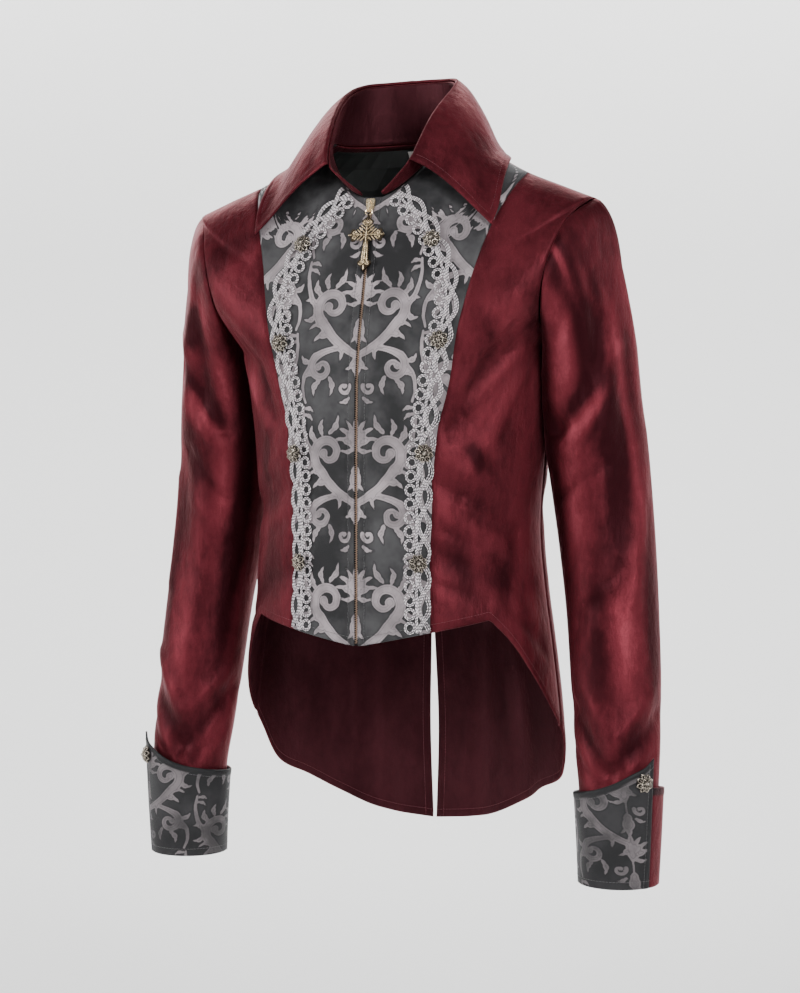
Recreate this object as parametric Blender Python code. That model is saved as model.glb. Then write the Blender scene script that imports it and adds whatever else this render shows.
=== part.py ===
"""Velvet zip jacket with jacquard front panels, a pointed collar and split tails.

The jacket has its worn, hollow shape. Metres, +Z up, the front faces -Y, the wearer's left is +X.
The origin is the middle of the neck base, level with the two points where the shoulders meet the neck.
"""
import math
from collections import namedtuple

import bmesh
import bpy
from mathutils import Vector
from mathutils.bvhtree import BVHTree

VELVET_THICK = 0.0018
JACQUARD_THICK = 0.0015
CUFF_THICK = 0.0020
LINING_THICK = 0.0010
SEAM_TRIM = 0.0002

# Half of the torso: a row for each level, from the neck down. The edge is the shoulder seam, then
# the armhole, then the side seam. The mid is the centre line. Turn is the angle at the edge, and
# square is the exponent of the superellipse between them.
Level = namedtuple("Level", "edge_x edge_y edge_z mid_y mid_z turn square")
FRONT_LEVELS = (
    Level(0.0700, -0.004, 0.000, -0.0785, -0.069, 90, 2.0),
    Level(0.1050, -0.006, -0.020, -0.0830, -0.088, 90, 2.1),
    Level(0.1400, -0.010, -0.040, -0.0880, -0.108, 90, 2.2),
    Level(0.1800, -0.015, -0.057, -0.0935, -0.130, 90, 2.3),
    Level(0.2145, -0.020, -0.071, -0.0985, -0.150, 88, 2.3),
    Level(0.1990, -0.055, -0.091, -0.1040, -0.172, 74, 2.3),
    Level(0.1900, -0.074, -0.115, -0.1085, -0.190, 62, 2.3),
    Level(0.1815, -0.083, -0.146, -0.1125, -0.207, 60, 2.3),
    Level(0.1745, -0.076, -0.177, -0.1160, -0.224, 66, 2.3),
    Level(0.1680, -0.046, -0.202, -0.1185, -0.240, 78, 2.3),
    Level(0.1640, 0.000, -0.215, -0.1200, -0.256, 90, 2.3),
    Level(0.1580, 0.012, -0.290, -0.1210, -0.290, 90, 2.2),
    Level(0.1535, 0.012, -0.340, -0.1215, -0.340, 90, 2.2),
    Level(0.1500, 0.012, -0.400, -0.1215, -0.400, 90, 2.2),
    Level(0.1550, 0.012, -0.460, -0.1215, -0.460, 90, 2.2),
    Level(0.1630, 0.012, -0.520, -0.1215, -0.520, 90, 2.2),
    Level(0.1700, 0.012, -0.580, -0.1200, -0.580, 90, 2.2),
    Level(0.1735, 0.012, -0.640, -0.1180, -0.640, 90, 2.2),
    Level(0.1740, 0.012, -0.730, -0.1170, -0.730, 90, 2.2),
)
BACK_LEVELS = (
    Level(0.0700, -0.004, 0.000, 0.0600, 0.006, 90, 2.0),
    Level(0.1050, -0.006, -0.020, 0.0780, -0.014, 90, 2.1),
    Level(0.1400, -0.010, -0.040, 0.0900, -0.036, 90, 2.2),
    Level(0.1800, -0.015, -0.057, 0.0980, -0.062, 90, 2.3),
    Level(0.2145, -0.020, -0.071, 0.1040, -0.092, 88, 2.3),
    Level(0.2010, 0.022, -0.089, 0.1070, -0.122, 74, 2.3),
    Level(0.1930, 0.047, -0.114, 0.1090, -0.148, 62, 2.3),
    Level(0.1850, 0.058, -0.146, 0.1100, -0.174, 60, 2.3),
    Level(0.1770, 0.054, -0.178, 0.1100, -0.200, 66, 2.3),
    Level(0.1695, 0.034, -0.203, 0.1090, -0.228, 78, 2.3),
    Level(0.1640, 0.000, -0.215, 0.1080, -0.256, 90, 2.3),
    Level(0.1580, 0.012, -0.290, 0.1040, -0.290, 90, 2.2),
    Level(0.1535, 0.012, -0.340, 0.0990, -0.340, 90, 2.2),
    Level(0.1500, 0.012, -0.400, 0.0960, -0.400, 90, 2.2),
    Level(0.1550, 0.012, -0.460, 0.0980, -0.460, 90, 2.2),
    Level(0.1630, 0.012, -0.520, 0.1020, -0.520, 90, 2.2),
    Level(0.1700, 0.012, -0.580, 0.1050, -0.580, 90, 2.2),
    Level(0.1735, 0.012, -0.640, 0.1070, -0.640, 90, 2.2),
    Level(0.1740, 0.012, -0.730, 0.1080, -0.730, 90, 2.2),
)
SHOULDER_TIP_LEVEL = 4
ARMPIT_LEVEL = 10
ARMHOLE_STEPS = 8
SKIRT_ROWS = 9
SHOULDER_ROWS = 4
PANEL_COLUMNS = 5
BACK_COLUMNS = 8

# The jacquard panel takes the whole shoulder seam down to this level, then its outer edge below.
PANEL_CORNER_LEVEL = 2
SIDE_TOP_SHARE = 0.08
PANEL_HEM_SHARE = 0.279
SIDE_PARTS = (0.0, 0.19, 0.384, 0.54, 0.70, 0.85, 1.0)

# Outer edge of the jacquard panel, from the shoulder seam to the hem.
PanelEdge = namedtuple("PanelEdge", "height half_width")
PANEL_EDGES = (
    PanelEdge(-0.040, 0.1390),
    PanelEdge(-0.075, 0.1290),
    PanelEdge(-0.103, 0.1225),
    PanelEdge(-0.138, 0.1140),
    PanelEdge(-0.200, 0.1014),
    PanelEdge(-0.260, 0.0903),
    PanelEdge(-0.300, 0.0807),
    PanelEdge(-0.340, 0.0766),
    PanelEdge(-0.420, 0.0736),
    PanelEdge(-0.514, 0.0738),
)

# Hem height round the body. Angles run from the centre front, 0, to the centre back, 180.
Hem = namedtuple("Hem", "angle height")
FRONT_HEM = (
    Hem(0, -0.5140),
    Hem(25, -0.5000),
    Hem(50, -0.4880),
)
CUTAWAY_HEM = (
    Hem(50, -0.4880),
    Hem(60, -0.5110),
    Hem(70, -0.5430),
    Hem(80, -0.5780),
    Hem(90, -0.5930),
)
TAIL_HEM = (
    Hem(90, -0.6010),
    Hem(99, -0.6200),
    Hem(112, -0.6560),
    Hem(130, -0.6750),
    Hem(144, -0.6920),
    Hem(162, -0.7130),
    Hem(180, -0.7200),
)
CORNER_ANGLE = 50

# Half of the gap between the two backs: sewn above, open as a vent below.
Vent = namedtuple("Vent", "height half_gap")
VENT = (
    Vent(-0.725, 0.0022),
    Vent(-0.620, 0.0052),
    Vent(-0.530, 0.0028),
    Vent(-0.460, 0.0002),
    Vent(0.010, 0.0002),
)

# Troughs (depth above 0) and ridges (below 0) of the cloth, from one end to the other.
# Positive angles are on the wearer's left. On a sleeve 0 is the front and 90 the outside.
Fold = namedtuple("Fold", "angle_a height_a angle_b height_b width depth")
BODY_FOLDS = (
    Fold(66, -0.205, 44, -0.300, 0.014, 0.0045),
    Fold(72, -0.250, 52, -0.345, 0.012, -0.0030),
    Fold(38, -0.355, 74, -0.405, 0.014, 0.0040),
    Fold(34, -0.425, 76, -0.455, 0.016, 0.0035),
    Fold(-64, -0.205, -46, -0.290, 0.014, 0.0045),
    Fold(-40, -0.360, -76, -0.385, 0.014, 0.0040),
    Fold(-36, -0.440, -72, -0.475, 0.016, 0.0030),
    Fold(112, -0.240, 148, -0.345, 0.016, 0.0045),
    Fold(104, -0.375, 160, -0.400, 0.015, 0.0040),
    Fold(-110, -0.245, -144, -0.330, 0.016, 0.0045),
    Fold(-106, -0.385, -158, -0.415, 0.015, 0.0040),
    Fold(124, -0.500, 120, -0.670, 0.018, 0.0060),
    Fold(150, -0.520, 154, -0.710, 0.020, -0.0050),
    Fold(-122, -0.510, -128, -0.670, 0.018, 0.0055),
    Fold(-148, -0.530, -152, -0.710, 0.020, -0.0050),
)
LEFT_SLEEVE_FOLDS = (
    Fold(40, -0.190, 29, -0.245, 0.013, 0.0065),
    Fold(29, -0.245, -32, -0.303, 0.012, 0.0070),
    Fold(62, -0.260, 24, -0.450, 0.018, 0.0045),
    Fold(-60, -0.580, 0, -0.640, 0.012, 0.0055),
    Fold(0, -0.640, 84, -0.585, 0.012, 0.0050),
    Fold(130, -0.250, 200, -0.330, 0.014, 0.0060),
    Fold(150, -0.420, 215, -0.480, 0.013, 0.0050),
)
RIGHT_SLEEVE_FOLDS = (
    Fold(56, -0.228, -22, -0.296, 0.012, 0.0080),
    Fold(44, -0.120, -11, -0.172, 0.012, 0.0045),
    Fold(59, -0.568, -12, -0.634, 0.012, 0.0055),
    Fold(-12, -0.634, -77, -0.580, 0.012, 0.0050),
    Fold(40, -0.330, 20, -0.500, 0.018, 0.0040),
    Fold(140, -0.240, 205, -0.315, 0.014, 0.0060),
    Fold(155, -0.400, 210, -0.470, 0.013, 0.0050),
)

# Sleeve below the head: a row for each section down to the hem inside the cuff.
Section = namedtuple("Section", "height x y radius_x radius_y")
SLEEVE_SECTIONS = (
    Section(-0.270, 0.2010, 0.012, 0.0510, 0.0580),
    Section(-0.305, 0.2045, 0.018, 0.0520, 0.0560),
    Section(-0.366, 0.2110, 0.022, 0.0505, 0.0525),
    Section(-0.424, 0.2180, 0.019, 0.0485, 0.0500),
    Section(-0.483, 0.2250, 0.011, 0.0465, 0.0475),
    Section(-0.555, 0.2310, 0.002, 0.0450, 0.0455),
    Section(-0.616, 0.2350, -0.007, 0.0425, 0.0425),
    Section(-0.660, 0.2376, -0.012, 0.0395, 0.0395),
    Section(-0.742, 0.2378, -0.0135, 0.0376, 0.0376),
)
SLEEVE_COLUMNS = 2 * ARMHOLE_STEPS
HEAD_STEPS = (0.10, 0.22, 0.38, 0.56, 0.78)
HEAD_PULL = 0.35
SLEEVE_ROWS = 12
SLEEVE_CLEARANCE = 0.0026
INNER_SINE = -0.3
ARMHOLE_GAP = 0.0005
HEAD_CLEAR_HEIGHT = -0.190
TORSO_CENTRE = Vector((0.0, 0.0, -0.35))
PUSH_REACH = 0.030

# Cuff: the top edge of its jacquard front and velvet back, by angle as on the sleeve.
CuffTop = namedtuple("CuffTop", "angle height")
CUFF_FRONT_TOP = (
    CuffTop(-118, -0.6640),
    CuffTop(-69, -0.6610),
    CuffTop(-20, -0.6545),
    CuffTop(8, -0.6470),
    CuffTop(33, -0.6370),
    CuffTop(50, -0.6310),
    CuffTop(62, -0.6230),
)
CUFF_BACK_TOP = (
    CuffTop(63, -0.6520),
    CuffTop(110, -0.6560),
    CuffTop(180, -0.6620),
    CuffTop(241, -0.6640),
)
CUFF_BOTTOM = -0.7500
CUFF_CENTRE = (0.2378, -0.0135)
CUFF_TOP_RADIUS = 0.0458
CUFF_BOTTOM_RADIUS = 0.0404
CUFF_SPREAD_HEIGHT = -0.640
CUFF_ROWS = 4
CUFF_COLUMNS = 11
CUFF_BUTTON = CuffTop(47, -0.6455)
CUFF_BUTTON_LIFT = 0.0006

# Collar: where its stand ends above and its fall ends below, by angle round the neck.
CollarPoint = namedtuple("CollarPoint", "angle x y z")
STAND_TOP = (
    CollarPoint(10, 0.0120, -0.0810, -0.0640),
    CollarPoint(24, 0.0290, -0.0850, -0.0500),
    CollarPoint(40, 0.0440, -0.0860, -0.0340),
    CollarPoint(60, 0.0530, -0.0520, 0.0090),
    CollarPoint(85, 0.0580, -0.0060, 0.0470),
    CollarPoint(115, 0.0510, 0.0270, 0.0680),
    CollarPoint(150, 0.0270, 0.0460, 0.0760),
    CollarPoint(180, 0.0000, 0.0510, 0.0780),
)
FALL_EDGE = (
    CollarPoint(40, 0.1275, -0.0800, -0.1010),
    CollarPoint(58, 0.1300, -0.0560, -0.0730),
    CollarPoint(80, 0.1255, -0.0200, -0.0400),
    CollarPoint(108, 0.1060, 0.0380, -0.0220),
    CollarPoint(145, 0.0580, 0.0800, -0.0120),
    CollarPoint(180, 0.0000, 0.0910, -0.0120),
)
NECK_SEAM_RISE = 0.0006
STAND_FRONT_ANGLE = 10
FALL_FRONT_ANGLE = 40
STAND_COLUMNS = 18
STAND_ROWS = 3
FALL_COLUMNS = 16
FALL_SHARES = (0.10, 0.32, 0.55, 0.78, 1.0)
FALL_ROLL_OUT = 0.0060
FALL_ROLL_RISE = 0.0030
FALL_BULGE = 0.0060
FALL_CLEARANCE = 0.0080

# Middle line of the braid's row of rings, on each front panel.
BraidPoint = namedtuple("BraidPoint", "height half_width")
BRAID_LINE = (
    BraidPoint(-0.0760, 0.0275),
    BraidPoint(-0.1000, 0.0495),
    BraidPoint(-0.1225, 0.0640),
    BraidPoint(-0.1447, 0.0750),
    BraidPoint(-0.1600, 0.0798),
    BraidPoint(-0.1843, 0.0812),
    BraidPoint(-0.2100, 0.0762),
    BraidPoint(-0.2386, 0.0706),
    BraidPoint(-0.2650, 0.0653),
    BraidPoint(-0.2926, 0.0610),
    BraidPoint(-0.3200, 0.0575),
    BraidPoint(-0.3600, 0.0550),
    BraidPoint(-0.4200, 0.0540),
    BraidPoint(-0.4600, 0.0545),
    BraidPoint(-0.5020, 0.0550),
)
BRAID_SAMPLES = 160
BRAID_PITCH = 0.0132
BRAID_LIFT = 0.0018
BRAID_THICK = 0.0014
BRAID_HEM_GAP = 0.0025

# Lines along the braid, from its inner edge: how far across they run, half the length of the hole
# beside them in each repeat, and whether the space up to the next line is open there.
BraidRow = namedtuple("BraidRow", "across half_length open_above")
BRAID_ROWS = (
    BraidRow(-0.0060, 0.0034, False),
    BraidRow(-0.0027, 0.0017, True),
    BraidRow(0.0000, 0.0031, True),
    BraidRow(0.0027, 0.0017, False),
    BraidRow(0.0090, 0.0024, True),
    BraidRow(0.0118, 0.0046, True),
    BraidRow(0.0146, 0.0024, False),
    BraidRow(0.0185, 0.0034, False),
)

ButtonPlace = namedtuple("ButtonPlace", "height half_width lift")
BUTTON_PLACES = (
    ButtonPlace(-0.1153, 0.0690, 0.0050),
    ButtonPlace(-0.2142, 0.0840, 0.0037),
    ButtonPlace(-0.3245, 0.0675, 0.0037),
    ButtonPlace(-0.4328, 0.0610, 0.0037),
)
BUTTON_RADIUS = 0.0088
BUTTON_RISE = 0.0062
BUTTON_LOBES = 8

ZIP_HALF_GAP = 0.0040
CHAIN_HALF_WIDTH = 0.0030
CHAIN_PROUD = 0.0006
CHAIN_THICK = 0.0028
TAPE_HALF_WIDTH = 0.0130
TAPE_THICK = 0.0008
TAPE_SET_BACK = 0.0026

# The slider and what hangs from it, in lengths down the leaning front and out from its surface.
SLIDER_TOP = -0.0705
SLIDER_BACK = 0.0010
SLIDER_THICK = 0.0020
PULL_LEAN = 13.5
SliderPoint = namedtuple("SliderPoint", "down across")
SLIDER_HALF = (
    SliderPoint(0.0000, 0.0040),
    SliderPoint(0.0022, 0.0048),
    SliderPoint(0.0080, 0.0042),
    SliderPoint(0.0120, 0.0028),
    SliderPoint(0.0138, 0.0026),
)
BAIL_TOP = 0.0028
BAIL_BOTTOM = 0.0125
BAIL_RISE = 0.0034
BAIL_WIRE = 0.0005
HINGE_DOWN = 0.0105
HINGE_OUT = 0.0044
RING_RADIUS = 0.0036
RING_WIRE = 0.0006
EYE_RADIUS = 0.0017
EYE_WIRE = 0.0006

# Outline of the pendant's right half, down from the middle of its eye.
CrossPoint = namedtuple("CrossPoint", "down across")
CROSS_HALF = (
    CrossPoint(0.0015, 0.0000),
    CrossPoint(0.0036, 0.0026),
    CrossPoint(0.0062, 0.0062),
    CrossPoint(0.0084, 0.0056),
    CrossPoint(0.0104, 0.0026),
    CrossPoint(0.0160, 0.0026),
    CrossPoint(0.0184, 0.0060),
    CrossPoint(0.0186, 0.0110),
    CrossPoint(0.0150, 0.0126),
    CrossPoint(0.0148, 0.0158),
    CrossPoint(0.0180, 0.0168),
    CrossPoint(0.0212, 0.0194),
    CrossPoint(0.0244, 0.0168),
    CrossPoint(0.0276, 0.0158),
    CrossPoint(0.0274, 0.0126),
    CrossPoint(0.0238, 0.0110),
    CrossPoint(0.0240, 0.0060),
    CrossPoint(0.0262, 0.0028),
    CrossPoint(0.0462, 0.0024),
    CrossPoint(0.0478, 0.0062),
    CrossPoint(0.0508, 0.0074),
    CrossPoint(0.0534, 0.0050),
    CrossPoint(0.0552, 0.0028),
    CrossPoint(0.0590, 0.0000),
)
CROSS_THICK = 0.0022

LABEL_HALF_WIDTH = 0.0150
LABEL_PLACES = (0.25, 0.9)
LABEL_THICK = 0.0006
LABEL_SET_BACK = 0.0040
LINING_SET_BACK = 0.0025
LINING_PLACES = (0.2, 1.0, 2.0, 3.0)


def read_curve(keys, values, key):
    """Give the smooth value at a key between the rows of a table, whose keys rise or fall."""
    if keys[0] > keys[-1]:
        keys = keys[::-1]
        values = values[::-1]
    key = min(max(key, keys[0]), keys[-1])
    last = len(keys) - 2
    low = 0
    while low < last and keys[low + 1] < key:
        low += 1
    span = keys[low + 1] - keys[low]
    share = (key - keys[low]) / span
    step = values[low + 1] - values[low]
    before = step
    after = step
    if low > 0:
        before = (values[low + 1] - values[low - 1]) / (keys[low + 1] - keys[low - 1]) * span
    if low < last:
        after = (values[low + 2] - values[low]) / (keys[low + 2] - keys[low]) * span
    square = share * share
    cube = square * share
    return (
        values[low] * (2 * cube - 3 * square + 1)
        + before * (cube - 2 * square + share)
        + values[low + 1] * (3 * square - 2 * cube)
        + after * (cube - square)
    )


def read_column(table, key_name, value_name, key):
    """Give the smooth value of one column of a table, at a value of another."""
    keys = [getattr(row, key_name) for row in table]
    values = [getattr(row, value_name) for row in table]
    return read_curve(keys, values, key)


def fold_depth(folds, angle, height, radius):
    """Add up how deep the troughs and ridges are at a place on a round of cloth."""
    total = 0.0
    for fold in folds:
        turn = (angle - fold.angle_a + 180) % 360 - 180
        span = (fold.angle_b - fold.angle_a + 180) % 360 - 180
        along = Vector((math.radians(span) * radius, fold.height_b - fold.height_a))
        place = Vector((math.radians(turn) * radius, height - fold.height_a))
        share = min(max(place.dot(along) / along.length_squared, 0.0), 1.0)
        distance = (place - along * share).length
        total += fold.depth * math.exp(-((distance / fold.width) ** 2))
    return total


def level_at(levels, place, known={}):
    """Give the whole level at a place, with corners at the shoulder tip and the armpit."""
    key = (levels is FRONT_LEVELS, place)
    if key not in known:
        first = 0
        last = SHOULDER_TIP_LEVEL
        if place > ARMPIT_LEVEL:
            first = ARMPIT_LEVEL
            last = len(levels) - 1
        elif place > SHOULDER_TIP_LEVEL:
            first = SHOULDER_TIP_LEVEL
            last = ARMPIT_LEVEL
        places = list(range(first, last + 1))
        rows = levels[first:last + 1]
        known[key] = Level(*[read_curve(places, list(column), place) for column in zip(*rows)])
    return known[key]


def place_of_height(levels, height):
    """Find the place in the lower torso's levels that lies at a height on the centre line."""
    low = 0.0
    high = float(len(levels) - 1)
    for _ in range(30):
        middle = (low + high) / 2
        if level_at(levels, middle).mid_z > height:
            low = middle
        else:
            high = middle
    return (low + high) / 2


def torso_point(levels, place, share, side):
    """Give a point of the torso: share runs from the centre line, 0, to the edge, 1."""
    row = level_at(levels, place)
    turn = math.radians(row.turn)
    angle = share * turn
    power = 2 / row.square
    edge_sine = math.sin(turn) ** power
    edge_cosine = math.cos(turn) ** power if row.turn < 89.9 else 0.0
    sine = abs(math.sin(angle)) ** power
    cosine = math.copysign(abs(math.cos(angle)) ** power, math.cos(angle))
    across = row.edge_x * sine / edge_sine
    depth = row.edge_y + (row.mid_y - row.edge_y) * (cosine - edge_cosine) / (1 - edge_cosine)
    rise = (abs(math.sin(angle)) / math.sin(turn)) ** 2
    height = row.mid_z + (row.edge_z - row.mid_z) * rise
    signed_angle = side * math.degrees(math.atan2(across, -depth))
    crease = fold_depth(BODY_FOLDS, signed_angle, height, row.edge_x)
    outward = Vector((across, depth, 0.0)).normalized()
    across -= crease * outward.x
    depth -= crease * outward.y
    return Vector((side * across, depth, height))


def torso_normal(levels, place, share, side):
    """Give the outward normal of the torso at a point."""
    step_down = 0.08
    step_round = 0.02
    top = max(place - step_down, 0.0)
    bottom = min(place + step_down, len(levels) - 1.0)
    down = torso_point(levels, bottom, share, side) - torso_point(levels, top, share, side)
    ahead = torso_point(levels, place, share + step_round, side)
    behind = torso_point(levels, place, max(share - step_round, 0.0), side)
    normal = down.cross(ahead - behind).normalized()
    if normal.dot(torso_point(levels, place, share, side) - TORSO_CENTRE) < 0:
        normal.negate()
    return normal


def share_of_width(levels, place, width):
    """Find the share of a level's angle at which the cloth is a given width from the middle."""
    row = level_at(levels, place)
    if width >= row.edge_x:
        return 1.0
    turn = math.radians(row.turn)
    return math.asin((width / row.edge_x) ** (row.square / 2) * math.sin(turn)) / turn


def panel_share(place):
    """Find where the jacquard panel ends on a level of the front."""
    if place <= PANEL_CORNER_LEVEL:
        return 1.0
    share = 0.5
    for _ in range(8):
        height = torso_point(FRONT_LEVELS, place, share, 1).z
        share = share_of_width(FRONT_LEVELS, place, read_column(PANEL_EDGES, "height", "half_width", height))
    return share


def upper_places():
    """List the places of the rows from the neck to the armpit."""
    shoulder = [float(SHOULDER_TIP_LEVEL * row / SHOULDER_ROWS) for row in range(SHOULDER_ROWS)]
    span = ARMPIT_LEVEL - SHOULDER_TIP_LEVEL
    armhole = [SHOULDER_TIP_LEVEL + span * row / ARMHOLE_STEPS for row in range(ARMHOLE_STEPS + 1)]
    return shoulder + armhole


def column_places(levels, hem_height):
    """List the places of all rows of a column that ends at a hem height."""
    hem = place_of_height(levels, hem_height)
    lower = [ARMPIT_LEVEL + (hem - ARMPIT_LEVEL) * row / SKIRT_ROWS for row in range(1, SKIRT_ROWS + 1)]
    return upper_places() + lower


def torso_sheet(levels, side, columns):
    """Work out points and normals of a torso piece from its columns of (places, shares)."""
    rows = range(len(columns[0][0]))
    points = [[torso_point(levels, places[row], shares[row], side) for places, shares in columns] for row in rows]
    normals = [[torso_normal(levels, places[row], shares[row], side) for places, shares in columns] for row in rows]
    return points, normals


def front_panel_sheet(side):
    """Lay out the jacquard panel from the zip to its outer edge."""
    columns = []
    for column in range(PANEL_COLUMNS + 1):
        part = column / PANEL_COLUMNS
        hem = read_column(FRONT_HEM, "angle", "height", 90 * part * PANEL_HEM_SHARE)
        places = column_places(FRONT_LEVELS, hem)
        shares = []
        for place in places:
            inner = share_of_width(FRONT_LEVELS, place, ZIP_HALF_GAP)
            shares.append(inner + (panel_share(place) - inner) * part)
        columns.append((places, shares))
    return torso_sheet(FRONT_LEVELS, side, columns)


def front_side_sheet(side):
    """Lay out the velvet front from the panel to the armhole and side seam."""
    columns = []
    for part in SIDE_PARTS:
        angle = 90 * (PANEL_HEM_SHARE + (1 - PANEL_HEM_SHARE) * part)
        table = FRONT_HEM if angle <= CORNER_ANGLE else CUTAWAY_HEM
        places = column_places(FRONT_LEVELS, read_column(table, "angle", "height", angle))
        places = [place for place in places if place > PANEL_CORNER_LEVEL]
        shares = [panel_share(place) + (1 - panel_share(place)) * part for place in places]
        columns.append((places, shares))
    points, normals = torso_sheet(FRONT_LEVELS, side, columns)
    corner = torso_point(FRONT_LEVELS, PANEL_CORNER_LEVEL, 1.0, side)
    start = corner.lerp(points[0][0], SIDE_TOP_SHARE)
    end = torso_point(FRONT_LEVELS, PANEL_CORNER_LEVEL + SIDE_TOP_SHARE, 1.0, side)
    points.insert(0, [start.lerp(end, part) for part in SIDE_PARTS])
    normal = torso_normal(FRONT_LEVELS, PANEL_CORNER_LEVEL + SIDE_TOP_SHARE, 1.0, side)
    normals.insert(0, [normal] * len(SIDE_PARTS))
    return points, normals


def back_sheet(side):
    """Lay out one half of the back from the centre seam and vent to the armhole and side seam."""
    columns = []
    for column in range(BACK_COLUMNS + 1):
        part = column / BACK_COLUMNS
        places = column_places(BACK_LEVELS, read_column(TAIL_HEM, "angle", "height", 180 - 90 * part))
        shares = []
        for place in places:
            height = level_at(BACK_LEVELS, place).mid_z
            half_gap = max(read_column(VENT, "height", "half_gap", height), VENT[-1].half_gap)
            inner = share_of_width(BACK_LEVELS, place, half_gap)
            shares.append(inner + (1 - inner) * part)
        columns.append((places, shares))
    return torso_sheet(BACK_LEVELS, side, columns)


def trimmed(points, closed):
    """Draw the border points of a sheet back a little, so that sewn pieces keep their gap."""
    result = [[point.copy() for point in row] for row in points]
    last_row = len(points) - 1
    last_column = len(points[0]) - 1
    for row in range(last_row + 1):
        for column in range(last_column + 1):
            near_row = 1 if row == 0 else last_row - 1 if row == last_row else row
            near_column = column
            if not closed:
                near_column = 1 if column == 0 else last_column - 1 if column == last_column else column
            for to_row, to_column in ((near_row, column), (row, near_column)):
                inward = points[to_row][to_column] - points[row][column]
                if inward.length > SEAM_TRIM:
                    result[row][column] += inward.normalized() * SEAM_TRIM
    return result


def sheet_normals(points, closed, outside):
    """Work out the normals of a sheet, pointing away from what outside gives for each row."""
    normals = []
    last_row = len(points) - 1
    count = len(points[0])
    for row in range(last_row + 1):
        line = []
        for column in range(count):
            after = (column + 1) % count if closed else min(column + 1, count - 1)
            before = (column - 1) % count if closed else max(column - 1, 0)
            down = points[min(row + 1, last_row)][column] - points[max(row - 1, 0)][column]
            normal = down.cross(points[row][after] - points[row][before]).normalized()
            if normal.dot(points[row][column] - outside(row)) < 0:
                normal.negate()
            line.append(normal)
        normals.append(line)
    return normals


def add_object(name, mesh_data, material, smooth_degrees=40):
    """Make a named object of a bmesh, with all its faces pointing out."""
    bmesh.ops.recalc_face_normals(mesh_data, faces=mesh_data.faces)
    mesh = bpy.data.meshes.new(name)
    mesh_data.to_mesh(mesh)
    mesh_data.free()
    mesh.shade_smooth()
    mesh.set_sharp_from_angle(angle=math.radians(smooth_degrees))
    mesh.materials.append(material)
    thing = bpy.data.objects.new(name, mesh)
    bpy.context.scene.collection.objects.link(thing)
    return thing


def add_wall(name, points, normals, thickness, material, closed=False):
    """Make a closed wall of cloth between the outer points and the same points moved in."""
    outer_points = trimmed(points, closed)
    mesh_data = bmesh.new()
    outer = [[mesh_data.verts.new(point) for point in row] for row in outer_points]
    inner = []
    for row, line in enumerate(outer_points):
        inner.append([mesh_data.verts.new(p - n * thickness) for p, n in zip(line, normals[row])])
    rows = len(points)
    count = len(points[0])
    spans = count if closed else count - 1
    for row in range(rows - 1):
        for column in range(spans):
            after = (column + 1) % count
            for layer in (outer, inner):
                corners = (layer[row][column], layer[row][after], layer[row + 1][after], layer[row + 1][column])
                mesh_data.faces.new(corners)
    for column in range(spans):
        after = (column + 1) % count
        for row in (0, rows - 1):
            mesh_data.faces.new((outer[row][column], outer[row][after], inner[row][after], inner[row][column]))
    if not closed:
        for row in range(rows - 1):
            for column in (0, count - 1):
                edge = (outer[row][column], outer[row + 1][column], inner[row + 1][column], inner[row][column])
                mesh_data.faces.new(edge)
    return add_object(name, mesh_data, material)


def surface_tree(sheets):
    """Make a search tree of the outer faces of sheets of cloth."""
    vertices = []
    faces = []
    for points in sheets:
        count = len(points[0])
        for row in range(len(points) - 1):
            for column in range(count - 1):
                first = len(vertices)
                corners = (points[row][column], points[row][column + 1])
                corners += (points[row + 1][column + 1], points[row + 1][column])
                vertices.extend(corners)
                faces.append((first, first + 1, first + 2, first + 3))
    return BVHTree.FromPolygons(vertices, faces)


def outward_from(location, normal, centre):
    """Turn a normal so that it points away from a centre."""
    return normal if normal.dot(location - centre) > 0 else -normal


def pushed_clear(point, tree, clearance):
    """Move a point out until it is clear of the torso."""
    location, normal, _, distance = tree.find_nearest(point)
    normal = outward_from(location, normal, TORSO_CENTRE)
    if distance < PUSH_REACH and (point - location).dot(normal) < clearance:
        return location + normal * clearance
    return point


def on_front(tree, across, height, lift):
    """Give a point and its normal on the front of the torso, seen square from the front."""
    location, normal, _, _ = tree.ray_cast(Vector((across, -1.0, height)), Vector((0, 1, 0)))
    normal = outward_from(location, normal, TORSO_CENTRE)
    return location + normal * lift, normal


def armhole_ring(side):
    """List points and normals round the armhole, from the shoulder tip, front first."""
    points = []
    normals = []
    span = ARMPIT_LEVEL - SHOULDER_TIP_LEVEL
    for column in range(SLEEVE_COLUMNS):
        steps = min(column, SLEEVE_COLUMNS - column)
        levels = FRONT_LEVELS if column <= ARMHOLE_STEPS else BACK_LEVELS
        place = SHOULDER_TIP_LEVEL + span * steps / ARMHOLE_STEPS
        points.append(torso_point(levels, place, 1.0, side))
        normals.append(torso_normal(levels, place, 1.0, side))
    return points, normals


def sleeve_point(angle, height, folds, side):
    """Give a point of the sleeve below its head."""
    section = Section(*[read_column(SLEEVE_SECTIONS, "height", name, height) for name in Section._fields])
    crease = fold_depth(folds, angle, height, section.radius_x)
    turn = math.radians(angle)
    across = section.x + (section.radius_x - crease) * math.sin(turn)
    depth = section.y - (section.radius_y - crease) * math.cos(turn)
    return Vector((side * across, depth, height))


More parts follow.
